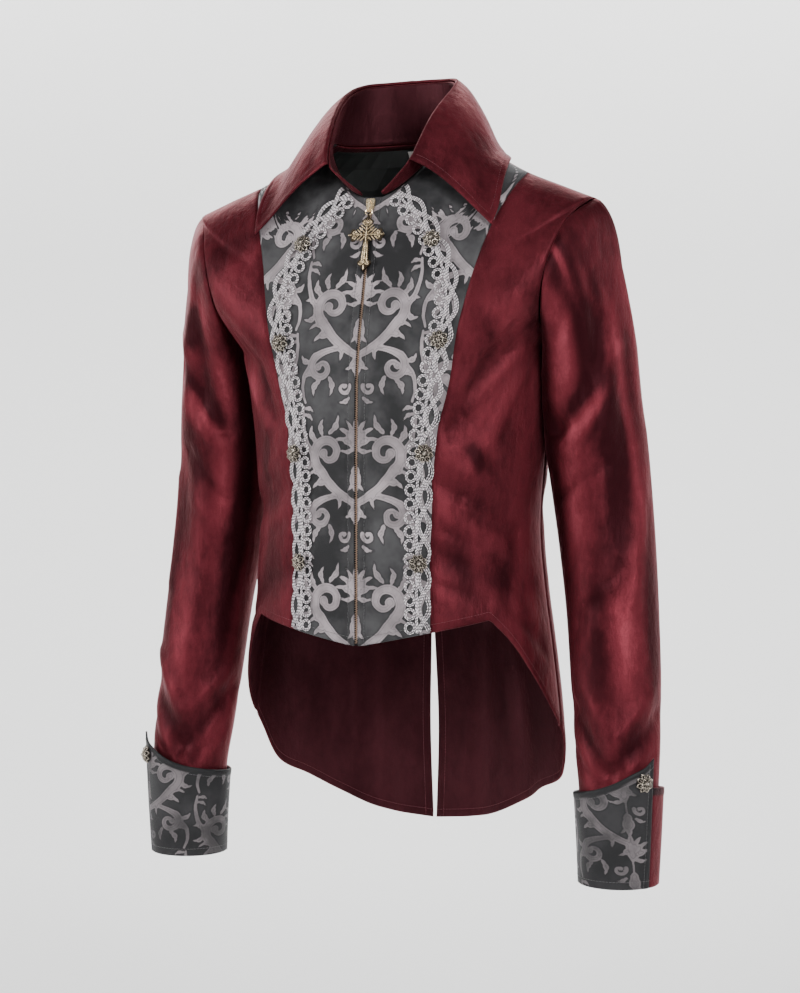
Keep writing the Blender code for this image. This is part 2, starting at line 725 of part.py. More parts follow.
def head_point(start, end, angle, share, folds, side):
    """Give a point of the sleeve's head, between the armhole and the first full section."""
    length = (end - start).length
    turn = math.radians(angle)
    lean = Vector((side * (0.6 + 0.25 * math.sin(turn)), 0.0, -0.75 + 0.25 * math.sin(turn)))
    leave = lean.normalized() * length * HEAD_PULL
    arrive = Vector((0, 0, -length))
    square = share * share
    cube = square * share
    point = start * (2 * cube - 3 * square + 1) + leave * (cube - 2 * square + share)
    point += end * (3 * square - 2 * cube) + arrive * (cube - square)
    crease = fold_depth(folds, angle, point.z, SLEEVE_SECTIONS[0].radius_x) * share
    outward = Vector((side * math.sin(turn), -math.cos(turn), 0.0))
    return point - outward * crease


def sleeve_sheet(side, folds, tree):
    """Lay out the sleeve from the armhole to the hem inside the cuff."""
    ring, ring_normals = armhole_ring(side)
    angles = [90 - 360 * column / SLEEVE_COLUMNS for column in range(SLEEVE_COLUMNS)]
    top = SLEEVE_SECTIONS[0].height
    bottom = SLEEVE_SECTIONS[-1].height
    points = [ring]
    for share in HEAD_STEPS:
        line = []
        for start, angle in zip(ring, angles):
            point = head_point(start, sleeve_point(angle, top, folds, side), angle, share, folds, side)
            if math.sin(math.radians(angle)) < INNER_SINE and point.z < HEAD_CLEAR_HEIGHT:
                point = pushed_clear(point, tree, SLEEVE_CLEARANCE * min(1.0, share / HEAD_STEPS[2]))
            line.append(point)
        points.append(line)
    for row in range(SLEEVE_ROWS + 1):
        height = top + (bottom - top) * row / SLEEVE_ROWS
        line = [sleeve_point(angle, height, folds, side) for angle in angles]
        points.append([pushed_clear(point, tree, SLEEVE_CLEARANCE) for point in line])
    normals = sheet_normals(points, True, sleeve_axis(points))
    points[0] = [start + (after - start).normalized() * ARMHOLE_GAP for start, after in zip(ring, points[1])]
    for column, normal in enumerate(ring_normals):
        steps = min(column, SLEEVE_COLUMNS - column) / ARMHOLE_STEPS
        weight = min(max((0.9 - steps) / 0.4, 0.0), 1.0)
        normals[0][column] = (normal * weight + normals[0][column] * (1 - weight)).normalized()
    return points, normals


def sleeve_axis(points):
    """Give a function that names the middle of each row of a round sheet."""
    def middle(row):
        return sum(points[row], Vector()) / len(points[row])
    return middle


def cuff_radius(height):
    """Give the cuff's outer radius at a height."""
    share = (height - CUFF_BOTTOM) / (CUFF_SPREAD_HEIGHT - CUFF_BOTTOM)
    return CUFF_BOTTOM_RADIUS + (CUFF_TOP_RADIUS - CUFF_BOTTOM_RADIUS) * share


def cuff_point(angle, height, side, lift=0.0):
    """Give a point of the cuff."""
    radius = cuff_radius(height) + lift
    turn = math.radians(angle)
    x = CUFF_CENTRE[0] + radius * math.sin(turn)
    return Vector((side * x, CUFF_CENTRE[1] - radius * math.cos(turn), height))


def cuff_sheet(table, side):
    """Lay out one piece of the cuff, from its shaped top edge to its hem."""
    first = table[0].angle
    last = table[-1].angle
    angles = [first + (last - first) * column / CUFF_COLUMNS for column in range(CUFF_COLUMNS + 1)]
    points = []
    for row in range(CUFF_ROWS + 1):
        line = []
        for angle in angles:
            top = read_column(table, "angle", "height", angle)
            line.append(cuff_point(angle, top + (CUFF_BOTTOM - top) * row / CUFF_ROWS, side))
        points.append(line)
    centre = Vector((side * CUFF_CENTRE[0], CUFF_CENTRE[1], 0.0))

    def middle(row):
        return Vector((centre.x, centre.y, points[row][0].z))

    return points, sheet_normals(points, False, middle)


def neck_point(angle, rise):
    """Give a point on the neck seam, by angle from the front, moved up by a little."""
    levels = FRONT_LEVELS if angle <= 90 else BACK_LEVELS
    point = torso_point(levels, 0.0, (angle if angle <= 90 else 180 - angle) / 90, 1)
    return point + Vector((0, 0, rise))


def collar_point(table, angle, side):
    """Give a point of one of the collar's lines."""
    x = read_column(table, "angle", "x", angle)
    y = read_column(table, "angle", "y", angle)
    z = read_column(table, "angle", "z", angle)
    return Vector((side * x, y, z))


def both_sides(front_angle, count):
    """List (angle, side) from the wearer's right front round the back to the left front."""
    right = [(front_angle + (180 - front_angle) * step / count, -1) for step in range(count + 1)]
    left = [(angle, 1) for angle, _ in reversed(right[:-1])]
    return right + left


def stand_sheet():
    """Lay out the collar's stand from its top line down to the neck seam."""
    places = both_sides(STAND_FRONT_ANGLE, STAND_COLUMNS // 2)
    points = []
    for row in range(STAND_ROWS + 1):
        share = row / STAND_ROWS
        line = []
        for angle, side in places:
            foot = neck_point(angle, NECK_SEAM_RISE)
            foot.x *= side
            line.append(collar_point(STAND_TOP, angle, side).lerp(foot, share))
        points.append(line)
    return points, sheet_normals(points, False, lambda row: Vector((0, -0.005, points[row][0].z + 0.02)))


def fall_sheet(tree):
    """Lay out the collar's fall from the roll over the stand down to its pointed edge."""
    places = both_sides(FALL_FRONT_ANGLE, FALL_COLUMNS)
    top = []
    edge = []
    points = [[]]
    for angle, side in places:
        line = collar_point(STAND_TOP, angle, side)
        foot = neck_point(angle, NECK_SEAM_RISE)
        foot.x *= side
        rise = (line - foot).normalized()
        along = collar_point(STAND_TOP, angle + 2, side) - collar_point(STAND_TOP, angle - 2, side)
        outward = rise.cross(along).normalized()
        if outward.dot(Vector((line.x, line.y, 0.0))) < 0:
            outward.negate()
        if angle > 178:
            outward = Vector((0.0, 1.0, 0.0))
        top.append((line, outward))
        edge.append(collar_point(FALL_EDGE, angle, side))
        points[0].append(line + rise * FALL_ROLL_RISE)
    for share in FALL_SHARES:
        row = []
        for (line, outward), end in zip(top, edge):
            start = line + outward * FALL_ROLL_OUT
            bulge = (outward * 0.6 + Vector((0, 0, 0.8))) * FALL_BULGE * math.sin(math.pi * share ** 0.7)
            row.append(pushed_clear(start.lerp(end, share) + bulge, tree, FALL_CLEARANCE))
        points.append(row)
    return points, sheet_normals(points, False, lambda row: Vector((0, 0.0, -0.12)))


def front_hem_height(half_width):
    """Give the height of the front's hem at a width from the middle."""
    place = place_of_height(FRONT_LEVELS, FRONT_HEM[1].height)
    angle = 90 * share_of_width(FRONT_LEVELS, place, half_width)
    return read_column(FRONT_HEM, "angle", "height", angle)


def braid_line(side, tree):
    """Give a function from a length along the braid to its place, direction across and normal."""
    first = BRAID_LINE[0].height
    last = BRAID_LINE[-1].height
    samples = []
    for step in range(BRAID_SAMPLES + 1):
        height = first + (last - first) * step / BRAID_SAMPLES
        across = read_column(BRAID_LINE, "height", "half_width", height)
        samples.append(on_front(tree, side * across, height, BRAID_LIFT)[0])
    lengths = [0.0]
    for before, after in zip(samples, samples[1:]):
        lengths.append(lengths[-1] + (after - before).length)
    xs = [point.x for point in samples]
    zs = [point.z for point in samples]

    def place(length):
        step = 0.004
        ahead = min(length + step, lengths[-1])
        behind = max(length - step, 0.0)
        along = Vector((
            read_curve(lengths, xs, ahead) - read_curve(lengths, xs, behind),
            0.0,
            read_curve(lengths, zs, ahead) - read_curve(lengths, zs, behind),
        ))
        centre, normal = on_front(tree, read_curve(lengths, xs, length), read_curve(lengths, zs, length), 0.0)
        outward = along.cross(normal).normalized()
        if outward.x * side < 0:
            outward.negate()
        return centre, outward

    return place, lengths[-1]


def add_braid(name, side, tree, material):
    """Make the braid: a flat band with a row of round holes and a row of long gaps."""
    place, total = braid_line(side, tree)
    repeats = int(total / BRAID_PITCH)
    pitch = total / repeats
    mesh_data = bmesh.new()

    def station(lengths):
        pairs = []
        for length, row in zip(lengths, BRAID_ROWS):
            centre, outward = place(length)
            spot = centre + outward * row.across
            spot.z = max(spot.z, front_hem_height(abs(spot.x)) + BRAID_HEM_GAP)
            top, normal = on_front(tree, spot.x, spot.z, BRAID_LIFT + BRAID_THICK)
            pairs.append((mesh_data.verts.new(top), mesh_data.verts.new(top - normal * BRAID_THICK)))
        return pairs

    def cell(near, far, row):
        for layer in (0, 1):
            mesh_data.faces.new((near[row][layer], near[row + 1][layer], far[row + 1][layer], far[row][layer]))

    stations = [station([0.0] * len(BRAID_ROWS))]
    for repeat in range(repeats):
        middle = (repeat + 0.5) * pitch
        stations.append(station([middle - row.half_length for row in BRAID_ROWS]))
        stations.append(station([middle + row.half_length for row in BRAID_ROWS]))
    stations.append(station([total] * len(BRAID_ROWS)))
    for index in range(len(stations) - 1):
        over_hole = index % 2 == 1
        for row in range(len(BRAID_ROWS) - 1):
            if not (over_hole and BRAID_ROWS[row].open_above):
                cell(stations[index], stations[index + 1], row)
    close_borders(mesh_data, [pair for line in stations for pair in line])
    return add_object(name, mesh_data, material)


def close_borders(mesh_data, pairs):
    """Join the open borders of a band's two faces, whose vertices come in pairs."""
    partner = {}
    for upper, lower in pairs:
        partner[upper] = lower
    borders = [edge for edge in mesh_data.edges if edge.is_boundary and edge.verts[0] in partner]
    for edge in borders:
        first, second = edge.verts
        mesh_data.faces.new((first, second, partner[second], partner[first]))


def ring_of(mesh_data, centre, across, up, radii):
    """Add a loop of vertices round a centre, one for each radius."""
    loop = []
    for index, radius in enumerate(radii):
        turn = math.tau * index / len(radii)
        loop.append(mesh_data.verts.new(centre + across * radius * math.cos(turn) + up * radius * math.sin(turn)))
    return loop


def add_button(name, base, normal, material):
    """Make a domed button with a lobed edge."""
    across = normal.orthogonal().normalized()
    up = normal.cross(across)
    count = 2 * BUTTON_LOBES
    plain = [1.0] * count
    lobed = [1.0 if index % 2 == 0 else 0.86 for index in range(count)]
    profile = ((0.80, 0.0, plain), (1.0, 0.20, lobed), (0.92, 0.42, lobed), (0.52, 0.85, plain))
    mesh_data = bmesh.new()
    loops = []
    for radius, rise, shape in profile:
        radii = [BUTTON_RADIUS * radius * factor for factor in shape]
        loops.append(ring_of(mesh_data, base + normal * BUTTON_RISE * rise, across, up, radii))
    for low, high in zip(loops, loops[1:]):
        for index in range(count):
            after = (index + 1) % count
            mesh_data.faces.new((low[index], low[after], high[after], high[index]))
    mesh_data.faces.new(loops[0])
    tip = mesh_data.verts.new(base + normal * BUTTON_RISE)
    for index in range(count):
        mesh_data.faces.new((loops[-1][index], loops[-1][(index + 1) % count], tip))
    return add_object(name, mesh_data, material)


def pull_frame():
    """Give the point of the front at the slider's top, and the directions down and out there."""
    place = place_of_height(FRONT_LEVELS, SLIDER_TOP)
    top = torso_point(FRONT_LEVELS, place, 0.0, 1)
    lean = math.radians(PULL_LEAN)
    down = Vector((0.0, -math.sin(lean), -math.cos(lean)))
    out = Vector((0.0, -math.cos(lean), math.sin(lean)))
    return top, down, out


def add_plate(name, half_outline, back, thickness, top, down, out, material):
    """Make a flat piece from one half of its outline, mirrored."""
    right = [(point.across, point.down) for point in half_outline]
    left = [(-across, far) for across, far in reversed(right) if across > 0]
    mesh_data = bmesh.new()
    layers = []
    for height in (back, back + thickness):
        outline = right + left
        layers.append([mesh_data.verts.new(top + Vector((a, 0, 0)) + down * d + out * height) for a, d in outline])
    count = len(layers[0])
    for index in range(count):
        after = (index + 1) % count
        mesh_data.faces.new((layers[0][index], layers[0][after], layers[1][after], layers[1][index]))
    mesh_data.faces.new(layers[0])
    mesh_data.faces.new(layers[1])
    return add_object(name, mesh_data, material, 30)


def add_tube(name, path, wire, sides, side_axis, material, closed=False):
    """Make a round wire along a path that lies square to the side axis."""
    mesh_data = bmesh.new()
    loops = []
    count = len(path)
    for index, point in enumerate(path):
        before = path[index - 1] if closed or index > 0 else point
        after = path[(index + 1) % count] if closed or index < count - 1 else point
        along = (after - before).normalized()
        loops.append(ring_of(mesh_data, point, side_axis, along.cross(side_axis), [wire] * sides))
    spans = count if closed else count - 1
    for index in range(spans):
        near = loops[index]
        far = loops[(index + 1) % count]
        for corner in range(sides):
            after = (corner + 1) % sides
            mesh_data.faces.new((near[corner], near[after], far[after], far[corner]))
    if not closed:
        mesh_data.faces.new(loops[0])
        mesh_data.faces.new(loops[-1])
    return add_object(name, mesh_data, material, 50)


def circle_path(centre, first, second, radius, count):
    """List points round a circle in the plane of two directions."""
    turns = [math.tau * index / count for index in range(count)]
    return [centre + first * radius * math.cos(turn) + second * radius * math.sin(turn) for turn in turns]


def unite(body, guide):
    """Fuse a guide into a body with a live Boolean, and hide the guide."""
    union = body.modifiers.new("union", "BOOLEAN")
    union.operation = "UNION"
    union.object = guide
    guide.hide_render = True
    guide.display_type = "WIRE"


def add_slider(material):
    """Make the zip's slider with the bail on its front."""
    top, down, out = pull_frame()
    slider = add_plate("zip_slider", SLIDER_HALF, SLIDER_BACK, SLIDER_THICK, top, down, out, material)
    foot = SLIDER_BACK + SLIDER_THICK / 2
    crown = SLIDER_BACK + SLIDER_THICK + BAIL_RISE
    shoulder = (crown - foot) * 0.7 + foot
    corner = 0.0014
    profile = (
        (BAIL_TOP, foot),
        (BAIL_TOP, shoulder),
        (BAIL_TOP + corner, crown),
        (BAIL_BOTTOM - corner, crown),
        (BAIL_BOTTOM, shoulder),
        (BAIL_BOTTOM, foot),
    )
    path = [top + down * far + out * height for far, height in profile]
    unite(slider, add_tube("bail_guide", path, BAIL_WIRE, 8, Vector((1, 0, 0)), material))


def add_pull(material_ring, material_cross):
    """Make the ring in the slider's bail and the cross-shaped pendant that hangs from it."""
    top, down, out = pull_frame()
    side = Vector((1, 0, 0))
    centre = top + down * (HINGE_DOWN + RING_RADIUS) + out * HINGE_OUT
    add_tube("pull_ring", circle_path(centre, side, down, RING_RADIUS, 14), RING_WIRE, 6, out, material_ring, True)
    eye = top + down * (HINGE_DOWN + 2 * RING_RADIUS) + out * HINGE_OUT
    back = -CROSS_THICK / 2
    cross = add_plate("cross_pendant", CROSS_HALF, back, CROSS_THICK, eye, down, out, material_cross)
    path = circle_path(eye, down, out, EYE_RADIUS, 12)
    unite(cross, add_tube("eye_guide", path, EYE_WIRE, 6, side, material_cross, True))


def zip_sheet(half_width, set_out):
    """Lay out a strip down the centre front at a distance out from the surface."""
    points = []
    normals = []
    for place in column_places(FRONT_LEVELS, FRONT_HEM[0].height):
        share = share_of_width(FRONT_LEVELS, place, half_width)
        edge_normals = [torso_normal(FRONT_LEVELS, place, share, side) for side in (-1, 1)]
        edges = [torso_point(FRONT_LEVELS, place, share, side) for side in (-1, 1)]
        points.append([point + normal * set_out for point, normal in zip(edges, edge_normals)])
        normals.append(edge_normals)
    return points, normals


def inner_back_sheet(places, shares, set_back):
    """Lay out a piece against the inside of the back, whose shares run to both sides."""
    points = []
    normals = []
    for place in places:
        sides = [(abs(share), -1 if share < 0 else 1) for share in shares(place)]
        row_normals = [torso_normal(BACK_LEVELS, place, share, side) for share, side in sides]
        row = [torso_point(BACK_LEVELS, place, share, side) for share, side in sides]
        points.append([point - normal * set_back for point, normal in zip(row, row_normals)])
        normals.append(row_normals)
    return points, normals


def lining_shares(_place):
    """List the lining's columns, which match the columns of the two backs."""
    return [column / BACK_COLUMNS for column in range(1 - BACK_COLUMNS, BACK_COLUMNS)]


def label_shares(place):
    """List the label's columns: its two edges and its middle."""
    edge = share_of_width(BACK_LEVELS, place, LABEL_HALF_WIDTH)
    return [-edge, 0.0, edge]


def make_material(name, colour, roughness, metallic=0.0):
    """Make a plain material with a colour, a roughness and a metallic value."""
    material = bpy.data.materials.new(name)
    material.use_nodes = True
    shader = material.node_tree.nodes["Principled BSDF"]
    shader.inputs["Base Color"].default_value = (*colour, 1.0)
    shader.inputs["Roughness"].default_value = roughness
    shader.inputs["Metallic"].default_value = metallic
    return material


def build_torso(velvet, jacquard):
    """Make the fronts and backs, and give their sheets for each side."""
    sheets = {}
    for label, side in (("left", 1), ("right", -1)):
        panel = front_panel_sheet(side)
        front = front_side_sheet(side)
        back = back_sheet(side)
        add_wall("front_panel_" + label, *panel, JACQUARD_THICK, jacquard)
        add_wall("front_side_" + label, *front, VELVET_THICK, velvet)
        add_wall("back_" + label, *back, VELVET_THICK, velvet)
        sheets[side] = (panel[0], front[0], back[0])
    return sheets


def build_sleeves(torso, velvet, jacquard, metal):
    """Make the sleeves with their cuffs and cuff buttons."""
    for label, side, folds in (("left", 1, LEFT_SLEEVE_FOLDS), ("right", -1, RIGHT_SLEEVE_FOLDS)):
        add_wall("sleeve_" + label, *sleeve_sheet(side, folds, torso), VELVET_THICK, velvet, closed=True)
        add_wall("cuff_front_" + label, *cuff_sheet(CUFF_FRONT_TOP, side), CUFF_THICK, jacquard)
        add_wall("cuff_back_" + label, *cuff_sheet(CUFF_BACK_TOP, side), CUFF_THICK, velvet)
        seat = cuff_point(CUFF_BUTTON.angle, CUFF_BUTTON.height, side, CUFF_BUTTON_LIFT)
        centre = Vector((side * CUFF_CENTRE[0], CUFF_CENTRE[1], CUFF_BUTTON.height))
        add_button("cuff_button_" + label, seat, (seat - centre).normalized(), metal)


def build_trims(sheets, braid, metal):
    """Make the braids and the buttons that sit on them."""
    for label, side in (("left", 1), ("right", -1)):
        tree = surface_tree(sheets[side][:2])
        add_braid("braid_" + label, side, tree, braid)
        for number, spot in enumerate(BUTTON_PLACES, 1):
            seats = [
                on_front(tree, side * (spot.half_width + step), spot.height, 0.0)
                for step in (0.0, -BUTTON_RADIUS, BUTTON_RADIUS)
            ]
            normal = sum((seat[1] for seat in seats), Vector()).normalized()
            base = seats[0][0] + normal * spot.lift
            add_button(f"button_{label}_{number}", base, normal, metal)


def build_neck(torso, velvet, lining, label):
    """Make the collar, and the lining with its blank label inside the back."""
    add_wall("collar_stand", *stand_sheet(), VELVET_THICK, velvet)
    add_wall("collar_fall", *fall_sheet(torso), VELVET_THICK, velvet)
    lining_sheet = inner_back_sheet(LINING_PLACES, lining_shares, LINING_SET_BACK)
    add_wall("neck_lining", *lining_sheet, LINING_THICK, lining)
    label_sheet = inner_back_sheet(LABEL_PLACES, label_shares, LABEL_SET_BACK)
    add_wall("neck_label", *label_sheet, LABEL_THICK, label)


def build_zip(tape, chain, gold, brass):
    """Make the zip with its slider, ring and pendant."""
    add_wall("zip_chain", *zip_sheet(CHAIN_HALF_WIDTH, CHAIN_PROUD), CHAIN_THICK, chain)
    add_wall("zip_tape", *zip_sheet(TAPE_HALF_WIDTH, -TAPE_SET_BACK), TAPE_THICK, tape)
    add_slider(gold)
    add_pull(gold, brass)


def main():
    """Build the whole jacket."""
    for thing in list(bpy.data.objects):
        bpy.data.objects.remove(thing)
    velvet = make_material("wine_velvet", (0.105, 0.012, 0.022), 0.75)
    jacquard = make_material("grey_jacquard", (0.085, 0.080, 0.088), 0.55)
    braid = make_material("silver_braid", (0.560, 0.500, 0.530), 0.60)
    lining = make_material("black_lining", (0.010, 0.012, 0.011), 0.70)
    label = make_material("white_label", (0.800, 0.790, 0.760), 0.60)
    tape = make_material("zip_tape", (0.018, 0.017, 0.019), 0.80)
    copper = make_material("copper_teeth", (0.480, 0.280, 0.180), 0.35, 1.0)
    gold = make_material("pale_gold", (0.640, 0.500, 0.300), 0.30, 1.0)
    brass = make_material("antique_brass", (0.330, 0.230, 0.120), 0.40, 1.0)
    silver = make_material("antique_silver", (0.360, 0.330, 0.300), 0.40, 1.0)
    sheets = build_torso(velvet, jacquard)
    torso = surface_tree(sheets[1] + sheets[-1])
    build_sleeves(torso, velvet, jacquard, silver)
    build_trims(sheets, braid, silver)
    build_neck(torso, velvet, lining, label)
    build_zip(tape, copper, gold, brass)


main()
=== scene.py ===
"""Dress the velvet zip jacket: cloth, braid, buttons, zip, stitching, light and camera."""
import logging
import math
from dataclasses import dataclass
from enum import Enum

import bmesh
import bpy
import numpy as np
from mathutils import Matrix, Vector
from mathutils.bvhtree import BVHTree


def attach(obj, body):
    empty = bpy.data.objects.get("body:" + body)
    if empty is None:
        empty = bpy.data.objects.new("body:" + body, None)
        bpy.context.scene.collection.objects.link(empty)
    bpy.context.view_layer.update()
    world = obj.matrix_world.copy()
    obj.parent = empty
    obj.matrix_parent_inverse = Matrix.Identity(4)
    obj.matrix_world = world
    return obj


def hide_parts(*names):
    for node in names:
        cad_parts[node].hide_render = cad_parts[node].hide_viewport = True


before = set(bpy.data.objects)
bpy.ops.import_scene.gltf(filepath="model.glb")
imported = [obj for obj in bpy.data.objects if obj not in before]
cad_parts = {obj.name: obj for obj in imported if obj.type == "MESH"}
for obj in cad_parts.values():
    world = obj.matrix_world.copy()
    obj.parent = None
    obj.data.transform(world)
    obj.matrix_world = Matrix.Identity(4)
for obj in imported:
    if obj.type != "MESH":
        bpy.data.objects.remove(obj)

LOG = logging.getLogger("jacket")
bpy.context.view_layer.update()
GARMENT = "garment"
MM = 0.001
Array = np.ndarray
Piece = bpy.types.Object
Material = bpy.types.Material
Socket = bpy.types.NodeSocket


def metres(rows: tuple, others: tuple = ()) -> tuple:
    """Turn a table from millimetres to metres, apart from the columns numbered in others."""
    return tuple(tuple(v if column in others else v / 1000 for column, v in enumerate(row)) for row in rows)


class Side(Enum):
    """The wearer's side that a piece is on; its value is the sign of X there."""

    LEFT = 1
    RIGHT = -1

    @property
    def label(self) -> str:
        """Give the side's name as the nodes spell it."""
        return self.name.lower()


class Hold(Enum):
    """How a sheet of cloth is held."""

    HUNG = "hung"
    FOLDED = "folded"


def smooth(keys: tuple, values: tuple, at: Array) -> Array:
    """Read a smooth curve that passes through the rows of a table.

    Args:
        keys: Where the rows lie, rising or falling.
        values: What the curve is at each row.
        at: Where to read it; beyond the ends it stays level.

    Returns:
        The curve's values.
    """
    keys = np.asarray(keys, float)
    values = np.asarray(values, float)
    if keys[0] > keys[-1]:
        keys, values = keys[::-1], values[::-1]
    at = np.clip(np.asarray(at, float), keys[0], keys[-1])
    steps = np.diff(values) / np.diff(keys)
    slopes = np.concatenate([steps[:1], (values[2:] - values[:-2]) / (keys[2:] - keys[:-2]), steps[-1:]])
    low = np.clip(np.searchsorted(keys, at) - 1, 0, len(keys) - 2)
    span = np.diff(keys)[low]
    share = (at - keys[low]) / span
    square = share ** 2
    cube = share ** 3
    return (
        values[low] * (2 * cube - 3 * square + 1) + slopes[low] * span * (cube - 2 * square + share)
        + values[low + 1] * (3 * square - 2 * cube) + slopes[low + 1] * span * (cube - square)
    )


def read(table: tuple, column: int, at: Array) -> Array:
    """Read one column of a table whose first column is the key."""
    return smooth([row[0] for row in table], [row[column] for row in table], at)


def unit(vectors: Array) -> Array:
    """Scale vectors to length one."""
    return vectors / np.maximum(size(vectors, keepdims=True), 1e-9)


def size(vectors: Array, **options: object) -> Array:
    """Measure vectors along their last axis."""
    return np.linalg.norm(vectors, axis=-1, **options)


def distances(line: Array) -> Array:
    """Give each point's distance along a line from its start."""
    return np.concatenate([[0], size(np.diff(line, axis=0)).cumsum()])


def resample(far: Array, values: Array, spots: Array) -> Array:
    """Read rows of values, known at distances along a line, at other distances."""
    return np.stack([np.interp(spots, far, column) for column in values.T], -1)


def crease(folds: tuple, angle: Array, height: Array, radius: Array, ridge: float = 0.0) -> Array:
    """Add up troughs and ridges of cloth that runs round a body or an arm.

    Args:
        folds: Rows of angle and height at both ends, width and depth; a ridge has a negative depth.
        angle: Place round the cloth, in degrees.
        height: Height of the place.
        radius: Radius there, which turns angles into lengths.
        ridge: Height of a ridge below each trough, as a share of its depth, used only for painted shading,
            where it is a painted highlight beside each trough's painted shade; with one, ends fade.

    Returns:
        How far the cloth lies in at each place.
    """
    total = np.zeros(np.broadcast(angle, height).shape)
    for angle_a, height_a, angle_b, height_b, width, depth in folds:
        turn = np.radians((angle - angle_a + 180) % 360 - 180) * radius
        span = np.radians((angle_b - angle_a + 180) % 360 - 180) * radius
        rise = height_b - height_a
        length = np.hypot(span, rise)
        along = (turn * span + (height - height_a) * rise) / length ** 2
        share = np.clip(along, 0, 1)
        beyond = (along - share) * length
        below = (turn * rise - (height - height_a) * span) / length * np.where(span < 0, -1, 1)
        wave = np.exp(-((below / width) ** 2) - (beyond / width) ** 2)
        # Only for painted shading: a painted highlight strip beside each trough, fading towards the ends.
        if ridge:
            beside = np.exp(-((below / width - 1.4) ** 2) - (beyond / width) ** 2)
            wave = (wave - ridge * beside) * (1 - 0.85 * np.abs(2 * share - 1) ** 2.5)
        total += depth * wave
    return total


class Sheet:
    """A grid of points on cloth, with normals, lengths along it and masks for its finish and its painted
    shading.
    """

    def __init__(self, points: Array, closed: bool = False, centre: tuple = (0, 0, -0.35)) -> None:
        """Take the grid, rows from the top, and work out its normals away from a centre."""
        self.points = points
        self.closed = closed
        self.fields: dict[str, Array] = {}
        self.update(np.asarray(centre, float))

    def update(self, centre: Array) -> None:
        """Work out normals that point away from a centre, and the lengths across and down."""
        grid = self.points
        if self.closed:
            around = np.roll(grid, -1, 1) - np.roll(grid, 1, 1)
        else:
            around = np.gradient(grid, axis=1)
        normals = unit(np.cross(np.gradient(grid, axis=0), around))
        middle = grid.mean(axis=1, keepdims=True) if self.closed else centre
        flip = np.sign(((grid - middle) * normals).sum(-1, keepdims=True).sum((0, 1)))
        self.normals = normals * (flip if abs(flip) > 0 else 1)
        across, down = size(np.diff(grid, axis=1)), size(np.diff(grid, axis=0))
        self.across = np.concatenate([np.zeros((len(grid), 1)), across.cumsum(1)], 1)
        self.down = np.concatenate([np.zeros((1, grid.shape[1])), down.cumsum(0)], 0)

    def push(self, depth: Array) -> None:
        """Move the cloth in along its normals by a depth at each point."""
        before = self.normals
        self.points = self.points - self.normals * depth[..., None]
        self.update(np.zeros(3))
        if (self.normals * before).sum() < 0:
            self.normals = -self.normals

    def border(self, name: str) -> Array:
        """Give each point's distance to the border named first, last, top or bottom."""
        far = {
            "first": self.across, "last": self.across[:, -1:] - self.across,
            "top": self.down, "bottom": self.down[-1:] - self.down,
        }
        return far[name]

    def seam(self, borders: str, depth: float = 0.0014, width: float = 0.003) -> None:
        """Draw the named borders in, as cloth does where it is sewn."""
        total = np.zeros(self.down.shape)
        for name in borders.split():
            total = np.maximum(total, depth * np.exp(-((self.border(name) / width) ** 2)))
        self.push(total)

    def stitch_line(self, border: str, inset: float) -> tuple[Array, Array]:
        """Find the line at a distance in from a border.

        Args:
            border: first, last, top or bottom.
            inset: Distance in from it.

        Returns:
            Points and normals along the line.
        """
        far = self.border(border)
        grid, normals = self.points, self.normals
        if border in ("first", "last"):
            far, grid, normals = far.T, grid.transpose(1, 0, 2), normals.transpose(1, 0, 2)
        order = slice(None) if border in ("first", "top") else slice(None, None, -1)
        both = np.concatenate([grid, normals], -1)
        line = np.array([resample(far[order, column], both[order, column], inset)
                         for column in range(far.shape[1])])
        return line[:, :3], unit(line[:, 3:])


def faces_of_grid(rows: int, columns: int, closed: bool, start: int, flip: bool) -> Array:
    """List the four-cornered faces of a grid of vertices, from a first index."""
    index = start + np.arange(rows * columns).reshape(rows, columns)
    after = np.roll(index, -1, 1) if closed else index[:, 1:]
    index = index if closed else index[:, :-1]
    faces = np.stack([index[:-1], after[:-1], after[1:], index[1:]], -1).reshape(-1, 4)
    return faces[:, ::-1] if flip else faces


def add_mesh(name: str, vertices: Array, faces: list, materials: list, kinds: list | None = None) -> Piece:
    """Make an object from arrays.

    Args:
        name: The piece's name.
        vertices: Its points.
        faces: Arrays of faces, each of one number of corners.
        materials: Its materials.
        kinds: The material's number for each array of faces.

    Returns:
        The object, smooth, with its outsides facing out as given.
    """
    mesh = bpy.data.meshes.new(name)
    mesh.from_pydata(vertices.tolist(), [], [face for array in faces for face in array.tolist()])
    for material in materials:
        mesh.materials.append(material)
    if kinds:
        indices = np.concatenate([np.full(len(array), kind) for array, kind in zip(faces, kinds)])
        mesh.polygons.foreach_set("material_index", indices.astype(np.int32))
    mesh.shade_smooth()
    piece = bpy.data.objects.new(name, mesh)
    bpy.context.scene.collection.objects.link(piece)
    return piece


